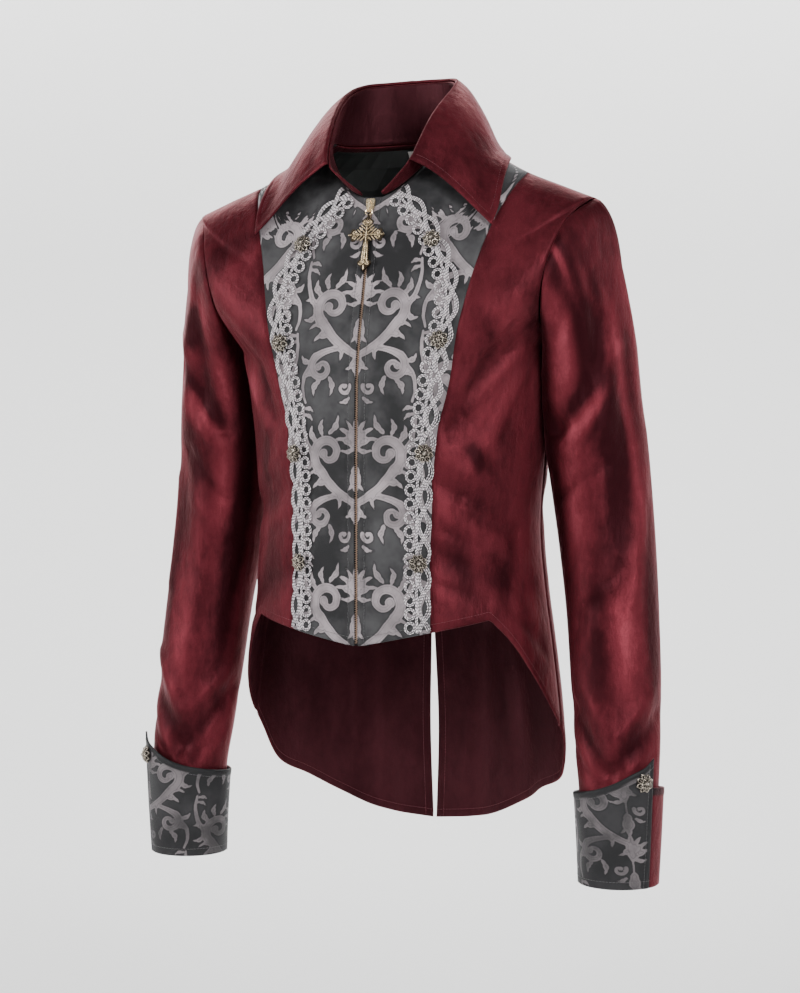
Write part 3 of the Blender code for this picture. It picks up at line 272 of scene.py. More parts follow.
def add_shell(name: str, sheet: Sheet, thickness: float, outside: Material, inside: Material) -> Piece:
    """Make a thin closed shell of cloth from a sheet, with a rounded edge.

    Args:
        name: The piece's name.
        sheet: Its outer face.
        thickness: The cloth's thickness.
        outside: Finish of the outer face and the edge.
        inside: Finish of the inner face.

    Returns:
        The object, with a UV map in metres and the sheet's masks as attributes.
    """
    rows, columns = sheet.points.shape[:2]
    count = rows * columns
    outer = sheet.points.reshape(-1, 3)
    inner = (sheet.points - sheet.normals * thickness).reshape(-1, 3)
    index = np.arange(count).reshape(rows, columns)
    if sheet.closed:
        loops = [index[0], index[-1][::-1]]
    else:
        loops = [np.concatenate([index[0], index[1:, -1], index[-1, -2::-1], index[-2:0:-1, 0]])]
    vertices = [outer, inner]
    rims = []
    start = 2 * count
    flat = sheet.normals.reshape(-1, 3)
    for loop in loops:
        ahead = np.roll(loop, -1)
        along = unit(outer[ahead] - outer[np.roll(loop, 1)])
        away = unit(np.cross(along, flat[loop]))
        halfway = sheet.points[rows // 2]
        inward = halfway.mean(0) if sheet.closed else halfway[columns // 2]
        if ((outer[loop] - inward) * away).sum() < 0:
            away = -away
        vertices.append((outer[loop] + inner[loop]) / 2 + away * thickness * 0.4)
        middle = start + np.arange(len(loop))
        after = np.roll(middle, -1)
        rims.append(np.stack([loop, middle, after, ahead], -1))
        rims.append(np.stack([middle, loop + count, ahead + count, after], -1))
        start += len(loop)
    front = faces_of_grid(rows, columns, sheet.closed, 0, False)
    back = faces_of_grid(rows, columns, sheet.closed, count, True)
    piece = add_mesh(name, np.concatenate(vertices), [front, back] + rims, [outside, inside],
                     [0, 1] + [0] * len(rims))
    mesh = piece.data
    tidy_normals(mesh)
    twins = np.concatenate([np.arange(count), np.arange(count)] + loops)
    uv_of_vertex = np.stack([sheet.across, -sheet.down], -1).reshape(-1, 2)[twins]
    corners = np.empty(len(mesh.loops), np.int32)
    mesh.loops.foreach_get("vertex_index", corners)
    layer = mesh.uv_layers.new(name="cloth")
    layer.data.foreach_set("uv", uv_of_vertex[corners].ravel().astype(np.float32))
    for field_name, field in sheet.fields.items():
        attribute = mesh.attributes.new(field_name, "FLOAT", "POINT")
        attribute.data.foreach_set("value", field.ravel()[twins].astype(np.float32))
    return piece


def tidy_normals(mesh: bpy.types.Mesh) -> None:
    """Turn all faces of a closed mesh outwards."""
    work = bmesh.new()
    work.from_mesh(mesh)
    bmesh.ops.recalc_face_normals(work, faces=work.faces)
    work.to_mesh(mesh)
    work.free()


def tube(path: Array, normals: Array, radius: Array | float, sides: int,
         closed: bool) -> tuple[Array, Array, Array]:
    """Sweep a round section along a path that lies on a surface.

    Args:
        path: The middle line.
        normals: The surface's normal at each point.
        radius: The section's radius, one for all or one at each point.
        sides: How many corners the section has.
        closed: Whether the path is a loop.

    Returns:
        Points, four-cornered faces, and each corner's length along and turn round the tube.
    """
    if closed:
        along = unit(np.roll(path, -1, 0) - np.roll(path, 1, 0))
    else:
        along = unit(np.gradient(path, axis=0))
    beside = unit(np.cross(along, normals))
    above = np.cross(beside, along)
    turn = np.arange(sides) * math.tau / sides
    ring = beside[:, None] * np.cos(turn)[:, None] + above[:, None] * np.sin(turn)[:, None]
    points = path[:, None] + ring * np.broadcast_to(radius, len(path))[:, None, None]
    line = np.concatenate([path, path[:1]]) if closed else path
    far = distances(line)
    start, near = np.meshgrid(far[:-1], turn / math.tau, indexing="ij")
    end, after_turn = np.meshgrid(far[1:], turn / math.tau + 1 / sides, indexing="ij")
    around = np.stack([start, near, start, after_turn, end, after_turn, end, near], -1).reshape(-1, 2)
    index = np.arange(len(path) * sides).reshape(len(path), sides)
    after = np.roll(index, -1, 0) if closed else index[1:]
    index = index if closed else index[:-1]
    faces = np.stack([index, np.roll(index, -1, 1), np.roll(after, -1, 1), after], -1).reshape(-1, 4)
    return points.reshape(-1, 3), faces, around


def add_tubes(name: str, tubes: list, material: Material) -> Piece:
    """Join swept tubes into one piece with its faces turned out and a UV map along its cords."""
    starts = np.cumsum([0] + [len(points) for points, _, _ in tubes])
    faces = [corners + start for (_, corners, _), start in zip(tubes, starts)]
    piece = add_mesh(name, np.concatenate([points for points, _, _ in tubes]), faces, [material])
    layer = piece.data.uv_layers.new(name="cord")
    layer.data.foreach_set("uv",
                           np.concatenate([around for _, _, around in tubes]).ravel().astype(np.float32))
    tidy_normals(piece.data)
    return piece


def add_copies(name: str, pattern: Piece, places: Array, axes: Array, material: Material) -> Piece:
    """Join copies of a small modelled piece, each in its own place.

    Args:
        name: The joined piece's name.
        pattern: The piece that repeats, at the origin, looking up its Z.
        places: Where each copy goes.
        axes: Each copy's three axes, as rows.
        material: The finish.

    Returns:
        The joined piece.
    """
    base = np.array([vertex.co[:] for vertex in pattern.data.vertices])
    points = places[:, None] + np.einsum("vi,nij->nvj", base, axes)
    starts = len(base) * np.arange(len(places))[:, None]
    faces = [np.array(face.vertices) + starts for face in pattern.data.polygons]
    piece = add_mesh(name, points.reshape(-1, 3), faces, [material])
    tidy_normals(piece.data)
    return piece


BELOW_ARMPIT = (
    (158, -290, -121, 104), (153.5, -340, -121.5, 99), (150, -400, -121.5, 96), (155, -460, -121.5, 98),
    (163, -520, -121.5, 102), (170, -580, -120, 105), (173.5, -640, -118, 107), (174, -730, -117, 108),
)


@dataclass(frozen=True)
class TorsoCut:
    """The body of the jacket: sizes of its levels, edges, hems and folds.

    Each level has the edge's x, y and z, the centre line's y and z, the angle at the edge and
    the exponent of the curve between them. Folds have the angle and height of both ends, a width
    and a depth. BELOW_ARMPIT gives half width, height and both centre lines.
    """

    front: tuple = metres((
        (70, -4, 0, -78.5, -69, 90, 2), (105, -6, -20, -83, -88, 90, 2.1),
        (140, -10, -40, -88, -108, 90, 2.2), (180, -15, -57, -93.5, -130, 90, 2.3),
        (214.5, -20, -71, -98.5, -150, 88, 2.3), (199, -55, -91, -104, -172, 74, 2.3),
        (190, -74, -115, -108.5, -190, 62, 2.3), (181.5, -83, -146, -112.5, -207, 60, 2.3),
        (174.5, -76, -177, -116, -224, 66, 2.3), (168, -46, -202, -118.5, -240, 78, 2.3),
        (164, 0, -215, -120, -256, 90, 2.3),
        *((x, 12, z, front_y, z, 90, 2.2) for x, z, front_y, back_y in BELOW_ARMPIT),
    ), (5, 6))
    back: tuple = metres((
        (70, -4, 0, 60, 6, 90, 2), (105, -6, -20, 78, -14, 90, 2.1), (140, -10, -40, 90, -36, 90, 2.2),
        (180, -15, -57, 98, -62, 90, 2.3), (214.5, -20, -71, 104, -92, 88, 2.3),
        (201, 22, -89, 107, -122, 74, 2.3), (193, 47, -114, 109, -148, 62, 2.3),
        (185, 58, -146, 110, -174, 60, 2.3), (177, 54, -178, 110, -200, 66, 2.3),
        (169.5, 34, -203, 109, -228, 78, 2.3), (164, 0, -215, 108, -256, 90, 2.3),
        *((x, 12, z, back_y, z, 90, 2.2) for x, z, front_y, back_y in BELOW_ARMPIT),
    ), (5, 6))
    corners: tuple = (0, 4, 10, 18)
    panel_edges: tuple = metres((
        (-40, 147), (-75, 134), (-103, 124), (-138, 114), (-200, 101.4), (-260, 90.3), (-300, 80.7),
        (-340, 76.6), (-420, 73.6), (-514, 73.8),
    ))
    panel_corner: float = 2.0
    panel_hem_share: float = 0.279
    corner_angle: float = 50.0
    front_hem: tuple = metres((
        (0, -514), (25, -500), (50, -488),
    ), (0,))
    cutaway_hem: tuple = metres((
        (50, -488), (60, -511), (70, -542), (80, -574), (90, -601),
    ), (0,))
    tail_hem: tuple = metres((
        (90, -601), (99, -620), (112, -656), (130, -675), (144, -692), (162, -713), (180, -720),
    ), (0,))
    vent: tuple = metres((
        (-725, 2.2), (-620, 5.2), (-530, 2.8), (-460, 0.2), (10, 0.2),
    ))
    zip_half_gap: float = 0.0019
    folds: tuple = metres((
        (66, -205, 44, -300, 14, 4.5), (72, -250, 52, -345, 12, -3), (38, -355, 74, -405, 14, 4),
        (34, -425, 76, -455, 16, 3.5), (-64, -205, -46, -290, 14, 4.5), (-40, -360, -76, -385, 14, 4),
        (-36, -440, -72, -475, 16, 3), (112, -240, 148, -345, 16, 4.5), (104, -375, 160, -400, 15, 4),
        (-110, -245, -144, -330, 16, 4.5), (-106, -385, -158, -415, 15, 4), (124, -500, 120, -670, 18, 6),
        (150, -520, 154, -710, 20, -5), (-122, -510, -128, -670, 18, 5.5), (-148, -530, -152, -710, 20, -5),
    ), (0, 2))
    fine_folds: tuple = metres((
        (63, -185, 50, -262, 6, 1.8), (70, -222, 49, -282, 6, -1.6), (76, -236, 60, -330, 7, 2),
        (58, -318, 47, -372, 6, 1.4), (44, -372, 70, -398, 6, -1.6), (40, -400, 66, -432, 7, 1.6),
        (36, -452, 58, -470, 7, 1.3), (66, -470, 84, -520, 8, 1.6), (52, -150, 46, -205, 7, 1.2),
        (-60, -190, -50, -262, 6, 1.8), (-70, -226, -52, -300, 7, -1.6), (-46, -345, -72, -372, 6, 1.6),
        (-42, -395, -66, -425, 7, 1.4), (-50, -452, -80, -500, 8, 1.6), (100, -230, 126, -300, 7, 2),
        (108, -330, 142, -372, 7, -1.8), (118, -402, 150, -432, 8, 1.8), (-104, -236, -128, -296, 7, 2),
        (-112, -345, -146, -368, 7, -1.8), (-120, -420, -152, -446, 8, 1.8), (136, -560, 138, -660, 10, 2),
        (-136, -550, -138, -650, 10, -2), (164, -180, 150, -230, 10, 1.6), (-162, -190, -150, -240, 10, 1.6),
    ), (0, 2))

    # Rows like the folds that move no cloth: they only paint shade (positive depth) and highlight (negative
    # depth) into the velvet's colour.
    nap: tuple = metres((
        (62, -165, 73, -222, 9, 6), (54, -178, 61, -228, 8, -6), (78, -95, 76, -130, 12, -5),
        (84, -225, 88, -320, 12, 8), (55, -304, 63, -334, 10, -6), (48, -313, 56, -345, 8, 5.5),
        (70, -260, 74, -330, 12, -3), (50, -400, 58, -470, 14, -4.5), (73, -390, 64, -490, 12, 5.5),
        (80, -440, 82, -520, 10, -5.5), (56, -110, 52, -140, 12, 4), (-58, -215, -60, -290, 12, -6),
        (-50, -295, -56, -360, 10, 5.5), (-56, -390, -62, -460, 12, -4.5), (-60, -90, -66, -150, 12, 5),
        (-70, -300, -72, -420, 10, 6), (116, -130, 128, -210, 14, -5), (140, -210, 152, -300, 12, 5),
        (128, -330, 140, -400, 14, -5), (150, -420, 156, -560, 16, 4.5), (126, -540, 130, -640, 16, -5),
        (-118, -140, -130, -220, 14, -5), (-138, -220, -150, -310, 12, 5), (-130, -340, -142, -410, 14, -5),
        (-152, -430, -158, -570, 16, 4.5), (-124, -540, -128, -640, 16, -5),
    ), (0, 2))

    def lie(self, points: Array) -> Array:
        """Give the velvet's painted shading: painted shade about -1 in troughs to painted highlight 1 on
        ridges.
        """
        around = np.degrees(np.arctan2(points[..., 0], -points[..., 1]))
        return -crease(self.folds + self.fine_folds + self.nap, around, points[..., 2], 0.16, 0.6) / 0.0085

    def levels(self, table: tuple, place: Array) -> Array:
        """Read whole levels, with corners at the shoulder tip and the armpit."""
        rows = np.array(table)
        place = np.asarray(place, float)
        result = np.empty(place.shape + (rows.shape[1],))
        for first, last in zip(self.corners, self.corners[1:]):
            inside = (place >= first) & (place <= last)
            keys = np.arange(first, last + 1)
            for column in range(rows.shape[1]):
                result[inside, column] = smooth(keys, rows[first:last + 1, column], place[inside])
        return result

    def place_of_height(self, table: tuple, height: Array) -> Array:
        """Find where a height lies on the centre line."""
        places = np.linspace(0, self.corners[-1], 3601)
        return np.interp(-np.asarray(height), -self.levels(table, places)[:, 4], places)

    def point(self, table: tuple, place: Array, share: Array, side: int, fine: bool = True) -> Array:
        """Give points of the body.

        Args:
            table: Levels of the front or the back.
            place: Place in the levels.
            share: 0 at the centre line, 1 at the edge.
            side: Sign of X.
            fine: Whether the small creases count.

        Returns:
            The points.
        """
        place, share = np.broadcast_arrays(place, share)
        edge_x, edge_y, edge_z, mid_y, mid_z, turn, square = np.moveaxis(self.levels(table, place), -1, 0)
        turn = np.radians(turn)
        angle = share * turn
        power = 2 / square
        edge_sine = np.sin(turn) ** power
        edge_cosine = np.where(turn < 1.569, np.maximum(np.cos(turn), 0) ** power, 0)
        cosine = np.sign(np.cos(angle)) * np.abs(np.cos(angle)) ** power
        across = edge_x * np.abs(np.sin(angle)) ** power / edge_sine
        depth = edge_y + (mid_y - edge_y) * (cosine - edge_cosine) / (1 - edge_cosine)
        height = mid_z + (edge_z - mid_z) * (np.abs(np.sin(angle)) / np.sin(turn)) ** 2
        around = side * np.degrees(np.arctan2(across, -depth))
        inward = crease(self.folds + (self.fine_folds if fine else ()), around, height, edge_x)
        length = np.hypot(across, depth)
        return np.stack([side * across * (1 - inward / length), depth * (1 - inward / length), height], -1)

    def share_of_width(self, table: tuple, place: Array, width: Array) -> Array:
        """Find the share at which a level is a given width from the middle."""
        row = self.levels(table, place)
        turn = np.radians(row[..., 5])
        near = np.clip(width / row[..., 0], 0, 1)
        return np.where(near >= 1, 1.0,
                        np.arcsin(np.clip(near ** (row[..., 6] / 2) * np.sin(turn), 0, 1)) / turn)

    def panel_share(self, place: Array) -> Array:
        """Find where the jacquard panel ends on levels of the front."""
        keys = np.linspace(self.panel_corner, self.corners[-1], 700)
        share = np.full(keys.shape, 0.5)
        for _ in range(8):
            height = self.point(self.front, keys, share, 1, False)[..., 2]
            share = self.share_of_width(self.front, keys, read(self.panel_edges, 1, height))
        return np.where(place <= self.panel_corner, 1.0, np.interp(place, keys, share))

    def places(self, hem: Array, first: float, upper: int, lower: int) -> Array:
        """List each column's places, rows first, from a first place by the armpit to its hem."""
        armpit = self.corners[2]
        above = np.linspace(first, armpit, upper, endpoint=False)[:, None] + 0 * hem
        below = armpit + np.linspace(0, 1, lower)[:, None] * (hem - armpit)
        return np.concatenate([above, below])

    def panel(self, side: int) -> Sheet:
        """Lay out the jacquard panel from the zip to its outer edge."""
        part = np.linspace(0, 1, 84)
        hem = self.place_of_height(self.front, read(self.front_hem, 1, 90 * part * self.panel_hem_share))
        place = self.places(hem, 0.0, 110, 150)
        inner = self.share_of_width(self.front, place, self.zip_half_gap)
        share = inner + (self.panel_share(place) - inner) * part
        return Sheet(self.point(self.front, place, share, side))

    def front_side(self, side: int) -> Sheet:
        """Lay out the velvet front from the panel to the armhole and side seam."""
        part = np.concatenate([np.linspace(0, 0.3076, 20, endpoint=False), np.linspace(0.3076, 1, 40)])
        angle = 90 * (self.panel_hem_share + (1 - self.panel_hem_share) * part)
        hem = np.where(angle <= self.corner_angle, read(self.front_hem, 1, angle),
                       read(self.cutaway_hem, 1, angle))
        place = self.places(self.place_of_height(self.front, hem), self.panel_corner + 0.05, 60, 110)
        edge = self.panel_share(place)
        return Sheet(self.point(self.front, place, edge + (1 - edge) * part, side))

    def half_back(self, side: int) -> Sheet:
        """Lay out one half of the back from the centre to the armhole and side seam."""
        part = np.linspace(0, 1, 66)
        hem = self.place_of_height(self.back, read(self.tail_hem, 1, 180 - 90 * part))
        place = self.places(hem, 0.0, 80, 150)
        gap = np.maximum(read(self.vent, 1, self.levels(self.back, place)[..., 4]), self.vent[-1][1])
        inner = self.share_of_width(self.back, place, gap)
        return Sheet(self.point(self.back, place, inner + (1 - inner) * part, side))

    def armhole(self, columns: int, side: int) -> Array:
        """List points round the armhole, from the shoulder tip, front first."""
        share = np.abs((np.arange(columns) / columns * 2 + 1) % 2 - 1)
        place = self.corners[1] + (self.corners[2] - self.corners[1]) * share
        front = self.point(self.front, place, 1.0, side, False)
        back = self.point(self.back, place, 1.0, side, False)
        return np.where((np.arange(columns) <= columns / 2)[:, None], front, back)


class Surface:
    """A search tree of sheets of cloth, for what lies on them."""

    def __init__(self, sheets: list) -> None:
        """Take the outer faces of sheets."""
        faces = []
        start = 0
        for sheet in sheets:
            rows, columns = sheet.points.shape[:2]
            faces.append(faces_of_grid(rows, columns, sheet.closed, start, False))
            start += rows * columns
        points = np.concatenate([sheet.points.reshape(-1, 3) for sheet in sheets])
        self.tree = BVHTree.FromPolygons(points.tolist(), np.concatenate(faces).tolist())
        self.centre = Vector((0, 0, -0.35))

    def nearest(self, point: Array) -> tuple[Array, Array, float]:
        """Give the nearest place, its outward normal and its distance."""
        location, normal, _, distance = self.tree.find_nearest(Vector(point))
        if normal.dot(location - self.centre) < 0:
            normal = -normal
        return np.array(location), np.array(normal), distance

    def clear(self, points: Array, clearance: Array, reach: float = 0.03) -> Array:
        """Move points out until they are clear of the cloth."""
        flat = points.reshape(-1, 3).copy()
        room = np.broadcast_to(clearance, points.shape[:-1]).ravel()
        for index, point in enumerate(flat):
            if room[index] <= 0:
                continue
            location, normal, distance = self.nearest(point)
            short = room[index] - float(np.dot(point - location, normal))
            if distance < reach and short > 0:
                flat[index] = location + normal * room[index]
        return flat.reshape(points.shape)

    def from_front(self, across: float, height: float) -> tuple[Array, Array]:
        """Give the place and normal that is seen square from the front."""
        hit, normal, _, _ = self.tree.ray_cast(Vector((across, -1, height)), Vector((0, 1, 0)))
        if hit is None:
            place, turned, _ = self.nearest(np.array((across, -0.12, height)))
            return place, turned
        if normal.y > 0:
            normal = -normal
        return np.array(hit), np.array(normal)


@dataclass(frozen=True)
class SleeveCut:
    """A sleeve: its sections (height, x, y, half widths across and in depth), folds and rows that only paint
    shade and highlight into its colour.
    """

    side: Side
    folds: tuple
    nap: tuple
    sections: tuple = metres((
        (-270, 201, 12, 51, 58), (-305, 204.5, 18, 52, 56), (-366, 211, 22, 50.5, 52.5),
        (-424, 218, 19, 48.5, 50), (-483, 225, 11, 46.5, 47.5), (-555, 231, 2, 45, 45.5),
        (-616, 235, -7, 42.5, 42.5), (-660, 237.6, -12, 39.5, 39.5), (-742, 237.8, -13.5, 37.6, 37.6),
    ))
    columns: int = 96
    head_rows: int = 44
    rows: int = 140
    head_pull: float = 0.35
    clearance: float = 0.0026
    head_swell: float = 0.004

    def section_point(self, angle: Array, height: Array) -> Array:
        """Give points of the sleeve below its head."""
        x, y, half_x, half_y = (read(self.sections, column, height) for column in (1, 2, 3, 4))
        inward = crease(self.folds, angle, height, half_x)
        turn = np.radians(angle)
        across = x + (half_x - inward) * np.sin(turn)
        height = np.broadcast_to(height, across.shape)
        return np.stack([self.side.value * across, y - (half_y - inward) * np.cos(turn), height], -1)

    def lay_out(self, body: TorsoCut, torso: Surface) -> Sheet:
        """Lay out the sleeve from the armhole to the hem inside the cuff.

        Args:
            body: The body's cut, for its armhole.
            torso: The body's surface, which the sleeve stays clear of.

        Returns:
            The sleeve's sheet.
        """
        sign = self.side.value
        ring = body.armhole(self.columns, sign)
        angle = 90 - 360 * np.arange(self.columns) / self.columns
        turn = np.radians(angle)
        top, bottom = self.sections[0][0], self.sections[-1][0]
        end = self.section_point(angle, np.full(self.columns, top))
        length = size(end - ring, keepdims=True)
        lean = np.stack([sign * (0.6 + 0.25 * np.sin(turn)), 0 * turn, -0.75 + 0.25 * np.sin(turn)], -1)
        leave = unit(lean) * length * self.head_pull
        arrive = np.array([[0, 0, -1.0]]) * length
        rows = []
        outward = np.stack([sign * np.sin(turn), -np.cos(turn), 0 * turn], -1)
        for share in np.linspace(0, 1, self.head_rows, endpoint=False):
            square, cube = share ** 2, share ** 3
            line = ring * (2 * cube - 3 * square + 1) + leave * (cube - 2 * square + share)
            line = line + end * (3 * square - 2 * cube) + arrive * (cube - square)
            inward = crease(self.folds, angle, line[:, 2], self.sections[0][3]) * share
            swell = self.head_swell * np.maximum(np.sin(turn), 0) * math.sin(math.pi * min(share * 2.2, 1.0))
            line = line - outward * (inward - swell)[:, None]
            near = (np.sin(turn) < -0.3) & (line[:, 2] < -0.19)
            rows.append(torso.clear(line, np.where(near, self.clearance * min(1, share / 0.38), 0)))
        for height in np.linspace(top, bottom, self.rows):
            line = self.section_point(angle, np.full(self.columns, height))
            near = np.sin(turn) < 0
            rows.append(torso.clear(line, np.where(near, self.clearance, 0)))
        rows[0] = ring + unit(rows[1] - ring) * 0.0004
        rows = np.array(rows)
        first, last = self.head_rows - 9, self.head_rows + 9
        for _ in range(40):
            rows[first:last] = (rows[first - 1:last - 1] + 2 * rows[first:last]
                                + rows[first + 1:last + 1]) / 4
        sheet = Sheet(rows, closed=True)
        # Mask for the velvet's painted shade in troughs and painted highlight on ridges, from the folds and
        # the painted shading rows.
        marks = crease(self.folds + self.nap, angle[None], rows[..., 2], self.sections[0][3], 0.6)
        sheet.fields["lie"] = -marks / 0.007
        return sheet


@dataclass(frozen=True)
class CuffCut:
    """A turned-back cuff: top edges by angle, radii and its middle."""

    front_top: tuple = metres((
        (-118, -664), (-69, -661), (-20, -654.5), (8, -647), (33, -637), (50, -631), (62, -623),
    ), (0,))
    back_top: tuple = metres((
        (63, -652), (110, -656), (180, -662), (241, -664),
    ), (0,))
    bottom: float = -0.75
    centre: tuple = (0.2378, -0.0135)
    top_radius: float = 0.0458
    bottom_radius: float = 0.0404
    spread_height: float = -0.64
    button: tuple = (47, -0.6455)

    def point(self, angle: Array, height: Array, side: int, lift: float = 0.0) -> Array:
        """Give points of the cuff at a distance out from it."""
        share = (height - self.bottom) / (self.spread_height - self.bottom)
        radius = self.bottom_radius + (self.top_radius - self.bottom_radius) * share + lift
        turn = np.radians(angle)
        across = side * (self.centre[0] + radius * np.sin(turn))
        return np.stack(np.broadcast_arrays(across, self.centre[1] - radius * np.cos(turn), height), -1)

    def piece(self, table: tuple, side: int, rows: int, columns: int) -> Sheet:
        """Lay out one piece of the cuff, from its shaped top edge to its hem."""
        angle = np.linspace(table[0][0], table[-1][0], columns)
        top = read(table, 1, angle)
        height = top + (self.bottom - top) * np.linspace(0, 1, rows)[:, None]
        bow = np.sin(np.linspace(0, math.pi, rows))[:, None]
        ripple = 0.0007 * np.sin(np.radians(angle * 5 + 40 * side)) * bow
        points = self.point(angle, height, side)
        sheet = Sheet(points, centre=(side * self.centre[0], self.centre[1], (top[0] + self.bottom) / 2))
        sheet.points = sheet.points - sheet.normals * ripple[..., None]
        return sheet


class Nodes:
    """A node tree under construction, with short calls for its nodes and links."""

    def __init__(self, tree: bpy.types.NodeTree) -> None:
        """Take the tree."""
        self.tree = tree

    def add(self, kind: str, **settings: object) -> bpy.types.Node:
        """Add a node; settings name its properties, or its inputs when they start with in_."""
        node = self.tree.nodes.new(kind)
        for key, value in settings.items():
            if key.startswith("in_"):
                name = key[3:]
                socket = int(name) if name.isdigit() else name.replace("_", " ")
                self.feed(node.inputs[socket], value)
            else:
                setattr(node, key, value)
        return node

    def feed(self, socket: Socket, value: object) -> None:
        """Link a socket, or set its value."""
        if isinstance(value, Socket):
            self.tree.links.new(value, socket)
        else:
            socket.default_value = value

    def math(self, operation: str, *values: object, clamp: bool = False) -> Socket:
        """Add a Math node and give its result."""
        node = self.add("ShaderNodeMath", operation=operation, use_clamp=clamp)
        for socket, value in zip(node.inputs, values):
            self.feed(socket, value)
        return node.outputs[0]

    def mix(self, share: object, first: object, second: object) -> Socket:
        """Mix two colours."""
        node = self.add("ShaderNodeMix", data_type="RGBA")
        for index, value in ((0, share), (6, first), (7, second)):
            self.feed(node.inputs[index], value if not isinstance(value, tuple) else (*value, 1.0))
        return node.outputs[2]

    def span(self, value: object, low: float, high: float, start: float = 0.0, end: float = 1.0) -> Socket:
        """Map a range of values smoothly to another."""
        node = self.add("ShaderNodeMapRange", interpolation_type="SMOOTHSTEP")
        for index, number in enumerate((value, low, high, start, end)):
            self.feed(node.inputs[index], number)
        return node.outputs[0]

    def noise(self, vector: object, scale: float, detail: float = 3.0, rough: float = 0.55) -> Socket:
        """Add noise and give its value."""
        node = self.add("ShaderNodeTexNoise", in_Scale=scale, in_Detail=detail, in_Roughness=rough)
        self.feed(node.inputs["Vector"], vector)
        return node.outputs["Fac"]

    def stretched(self, vector: object, scale: tuple) -> Socket:
        """Scale a vector by axis."""
        return self.add("ShaderNodeMapping", in_Vector=vector, in_Scale=scale).outputs[0]


def new_group(name: str, inputs: dict, outputs: tuple) -> Nodes:
    """Start a shader node group with number inputs and named outputs.

    Args:
        name: The group's name.
        inputs: Socket types by input name.
        outputs: Names of its outputs, all numbers.

    Returns:
        The group's nodes, with its ends as the first two.
    """
    tree = bpy.data.node_groups.new(name, "ShaderNodeTree")
    for label, kind in inputs.items():
        tree.interface.new_socket(label, in_out="INPUT", socket_type=kind)
    for label in outputs:
        tree.interface.new_socket(label, in_out="OUTPUT", socket_type="NodeSocketFloat")
    nodes = Nodes(tree)
    nodes.ins = nodes.add("NodeGroupInput").outputs
    nodes.outs = nodes.add("NodeGroupOutput").inputs
    return nodes


def nap_group() -> bpy.types.NodeTree:
    """Build the effect of brushed pile: patches where the pile lies another way, fine grain and soft
    crumples.
    """
    group = new_group("brushed_nap", {"Vector": "NodeSocketVector"}, ("Patches", "Grain", "Height"))
    place = group.ins["Vector"]
    wide = group.noise(group.stretched(place, (1.0, 1.0, 0.5)), 17.0, 3.0, 0.5)
    small = group.noise(group.stretched(place, (1.0, 1.0, 0.5)), 130.0, 4.0, 0.65)
    grain = group.noise(place, 1500.0, 2.0, 0.7)
    group.feed(group.outs["Patches"], group.span(group.math("MULTIPLY_ADD", small, 0.5, wide), 0.55, 0.95))
    group.feed(group.outs["Grain"], grain)
    height = group.math("MULTIPLY_ADD", small, 0.22, wide)
    group.feed(group.outs["Height"], group.math("MULTIPLY_ADD", grain, 0.03, height))
    return group.tree


def weave_group() -> bpy.types.NodeTree:
    """Build the fine crossed threads of woven cloth, on its UV map in metres."""
    group = new_group("fine_weave", {"Vector": "NodeSocketVector", "Threads": "NodeSocketFloat"}, ("Height",))
    split = group.add("ShaderNodeSeparateXYZ", in_Vector=group.ins["Vector"])
    waves = []
    for axis in (0, 1):
        turn = group.math("MULTIPLY", split.outputs[axis], group.ins["Threads"])
        waves.append(group.math("SINE", group.math("MULTIPLY", turn, math.tau)))
    group.feed(group.outs["Height"], group.math("MULTIPLY_ADD", waves[0], waves[1], 0.5))
    return group.tree


def wear_group() -> bpy.types.NodeTree:
    """Build the dark hollows and rubbed high places of old cast metal."""
    group = new_group("antique_wear", {"Vector": "NodeSocketVector", "Scale": "NodeSocketFloat"},
                      ("Hollow", "Rub"))
    scaled = group.add("ShaderNodeVectorMath", operation="SCALE")
    group.feed(scaled.inputs[0], group.ins["Vector"])
    group.feed(scaled.inputs["Scale"], group.ins["Scale"])
    spots = group.noise(scaled.outputs[0], 1.0, 4.0, 0.65)
    group.feed(group.outs["Hollow"], group.span(spots, 0.4, 0.6))
    group.feed(group.outs["Rub"], group.span(group.noise(scaled.outputs[0], 3.1, 2.0), 0.45, 0.7))
    return group.tree


GROUPS = {"nap": nap_group(), "weave": weave_group(), "wear": wear_group()}


class Finish:
    """A material in the making: its nodes and its shader."""

    def __init__(self, name: str) -> None:
        """Start a material."""
        self.material = bpy.data.materials.new(name)
        self.material.use_nodes = True
        self.nodes = Nodes(self.material.node_tree)
        self.shader = self.material.node_tree.nodes["Principled BSDF"]
        self.place = self.nodes.add("ShaderNodeTexCoord").outputs["Object"]

    def uv(self) -> Socket:
        """Give the cloth's own UV map."""
        return self.nodes.add("ShaderNodeUVMap", uv_map="cloth").outputs[0]

    def mask(self, name: str) -> Socket:
        """Read one of the piece's masks."""
        return self.nodes.add("ShaderNodeAttribute", attribute_name=name).outputs["Fac"]

    def group(self, name: str, **values: object) -> bpy.types.bpy_prop_collection:
        """Place a shared effect with its values and give its outputs."""
        node = self.nodes.add("ShaderNodeGroup", node_tree=GROUPS[name])
        for key, value in values.items():
            self.nodes.feed(node.inputs[key], value)
        return node.outputs

    def shade(self, **values: object) -> None:
        """Set or link the shader's sockets; an underscore stands for a space."""
        for key, value in values.items():
            value = (*value, 1.0) if isinstance(value, tuple) else value
            self.nodes.feed(self.shader.inputs[key.replace("_", " ")], value)

    def bump(self, height: Socket, distance: float, strength: float = 1.0) -> None:
        """Give the surface a small relief."""
        node = self.nodes.add("ShaderNodeBump", in_Height=height, in_Distance=distance, in_Strength=strength)
        self.nodes.feed(self.shader.inputs["Normal"], node.outputs[0])


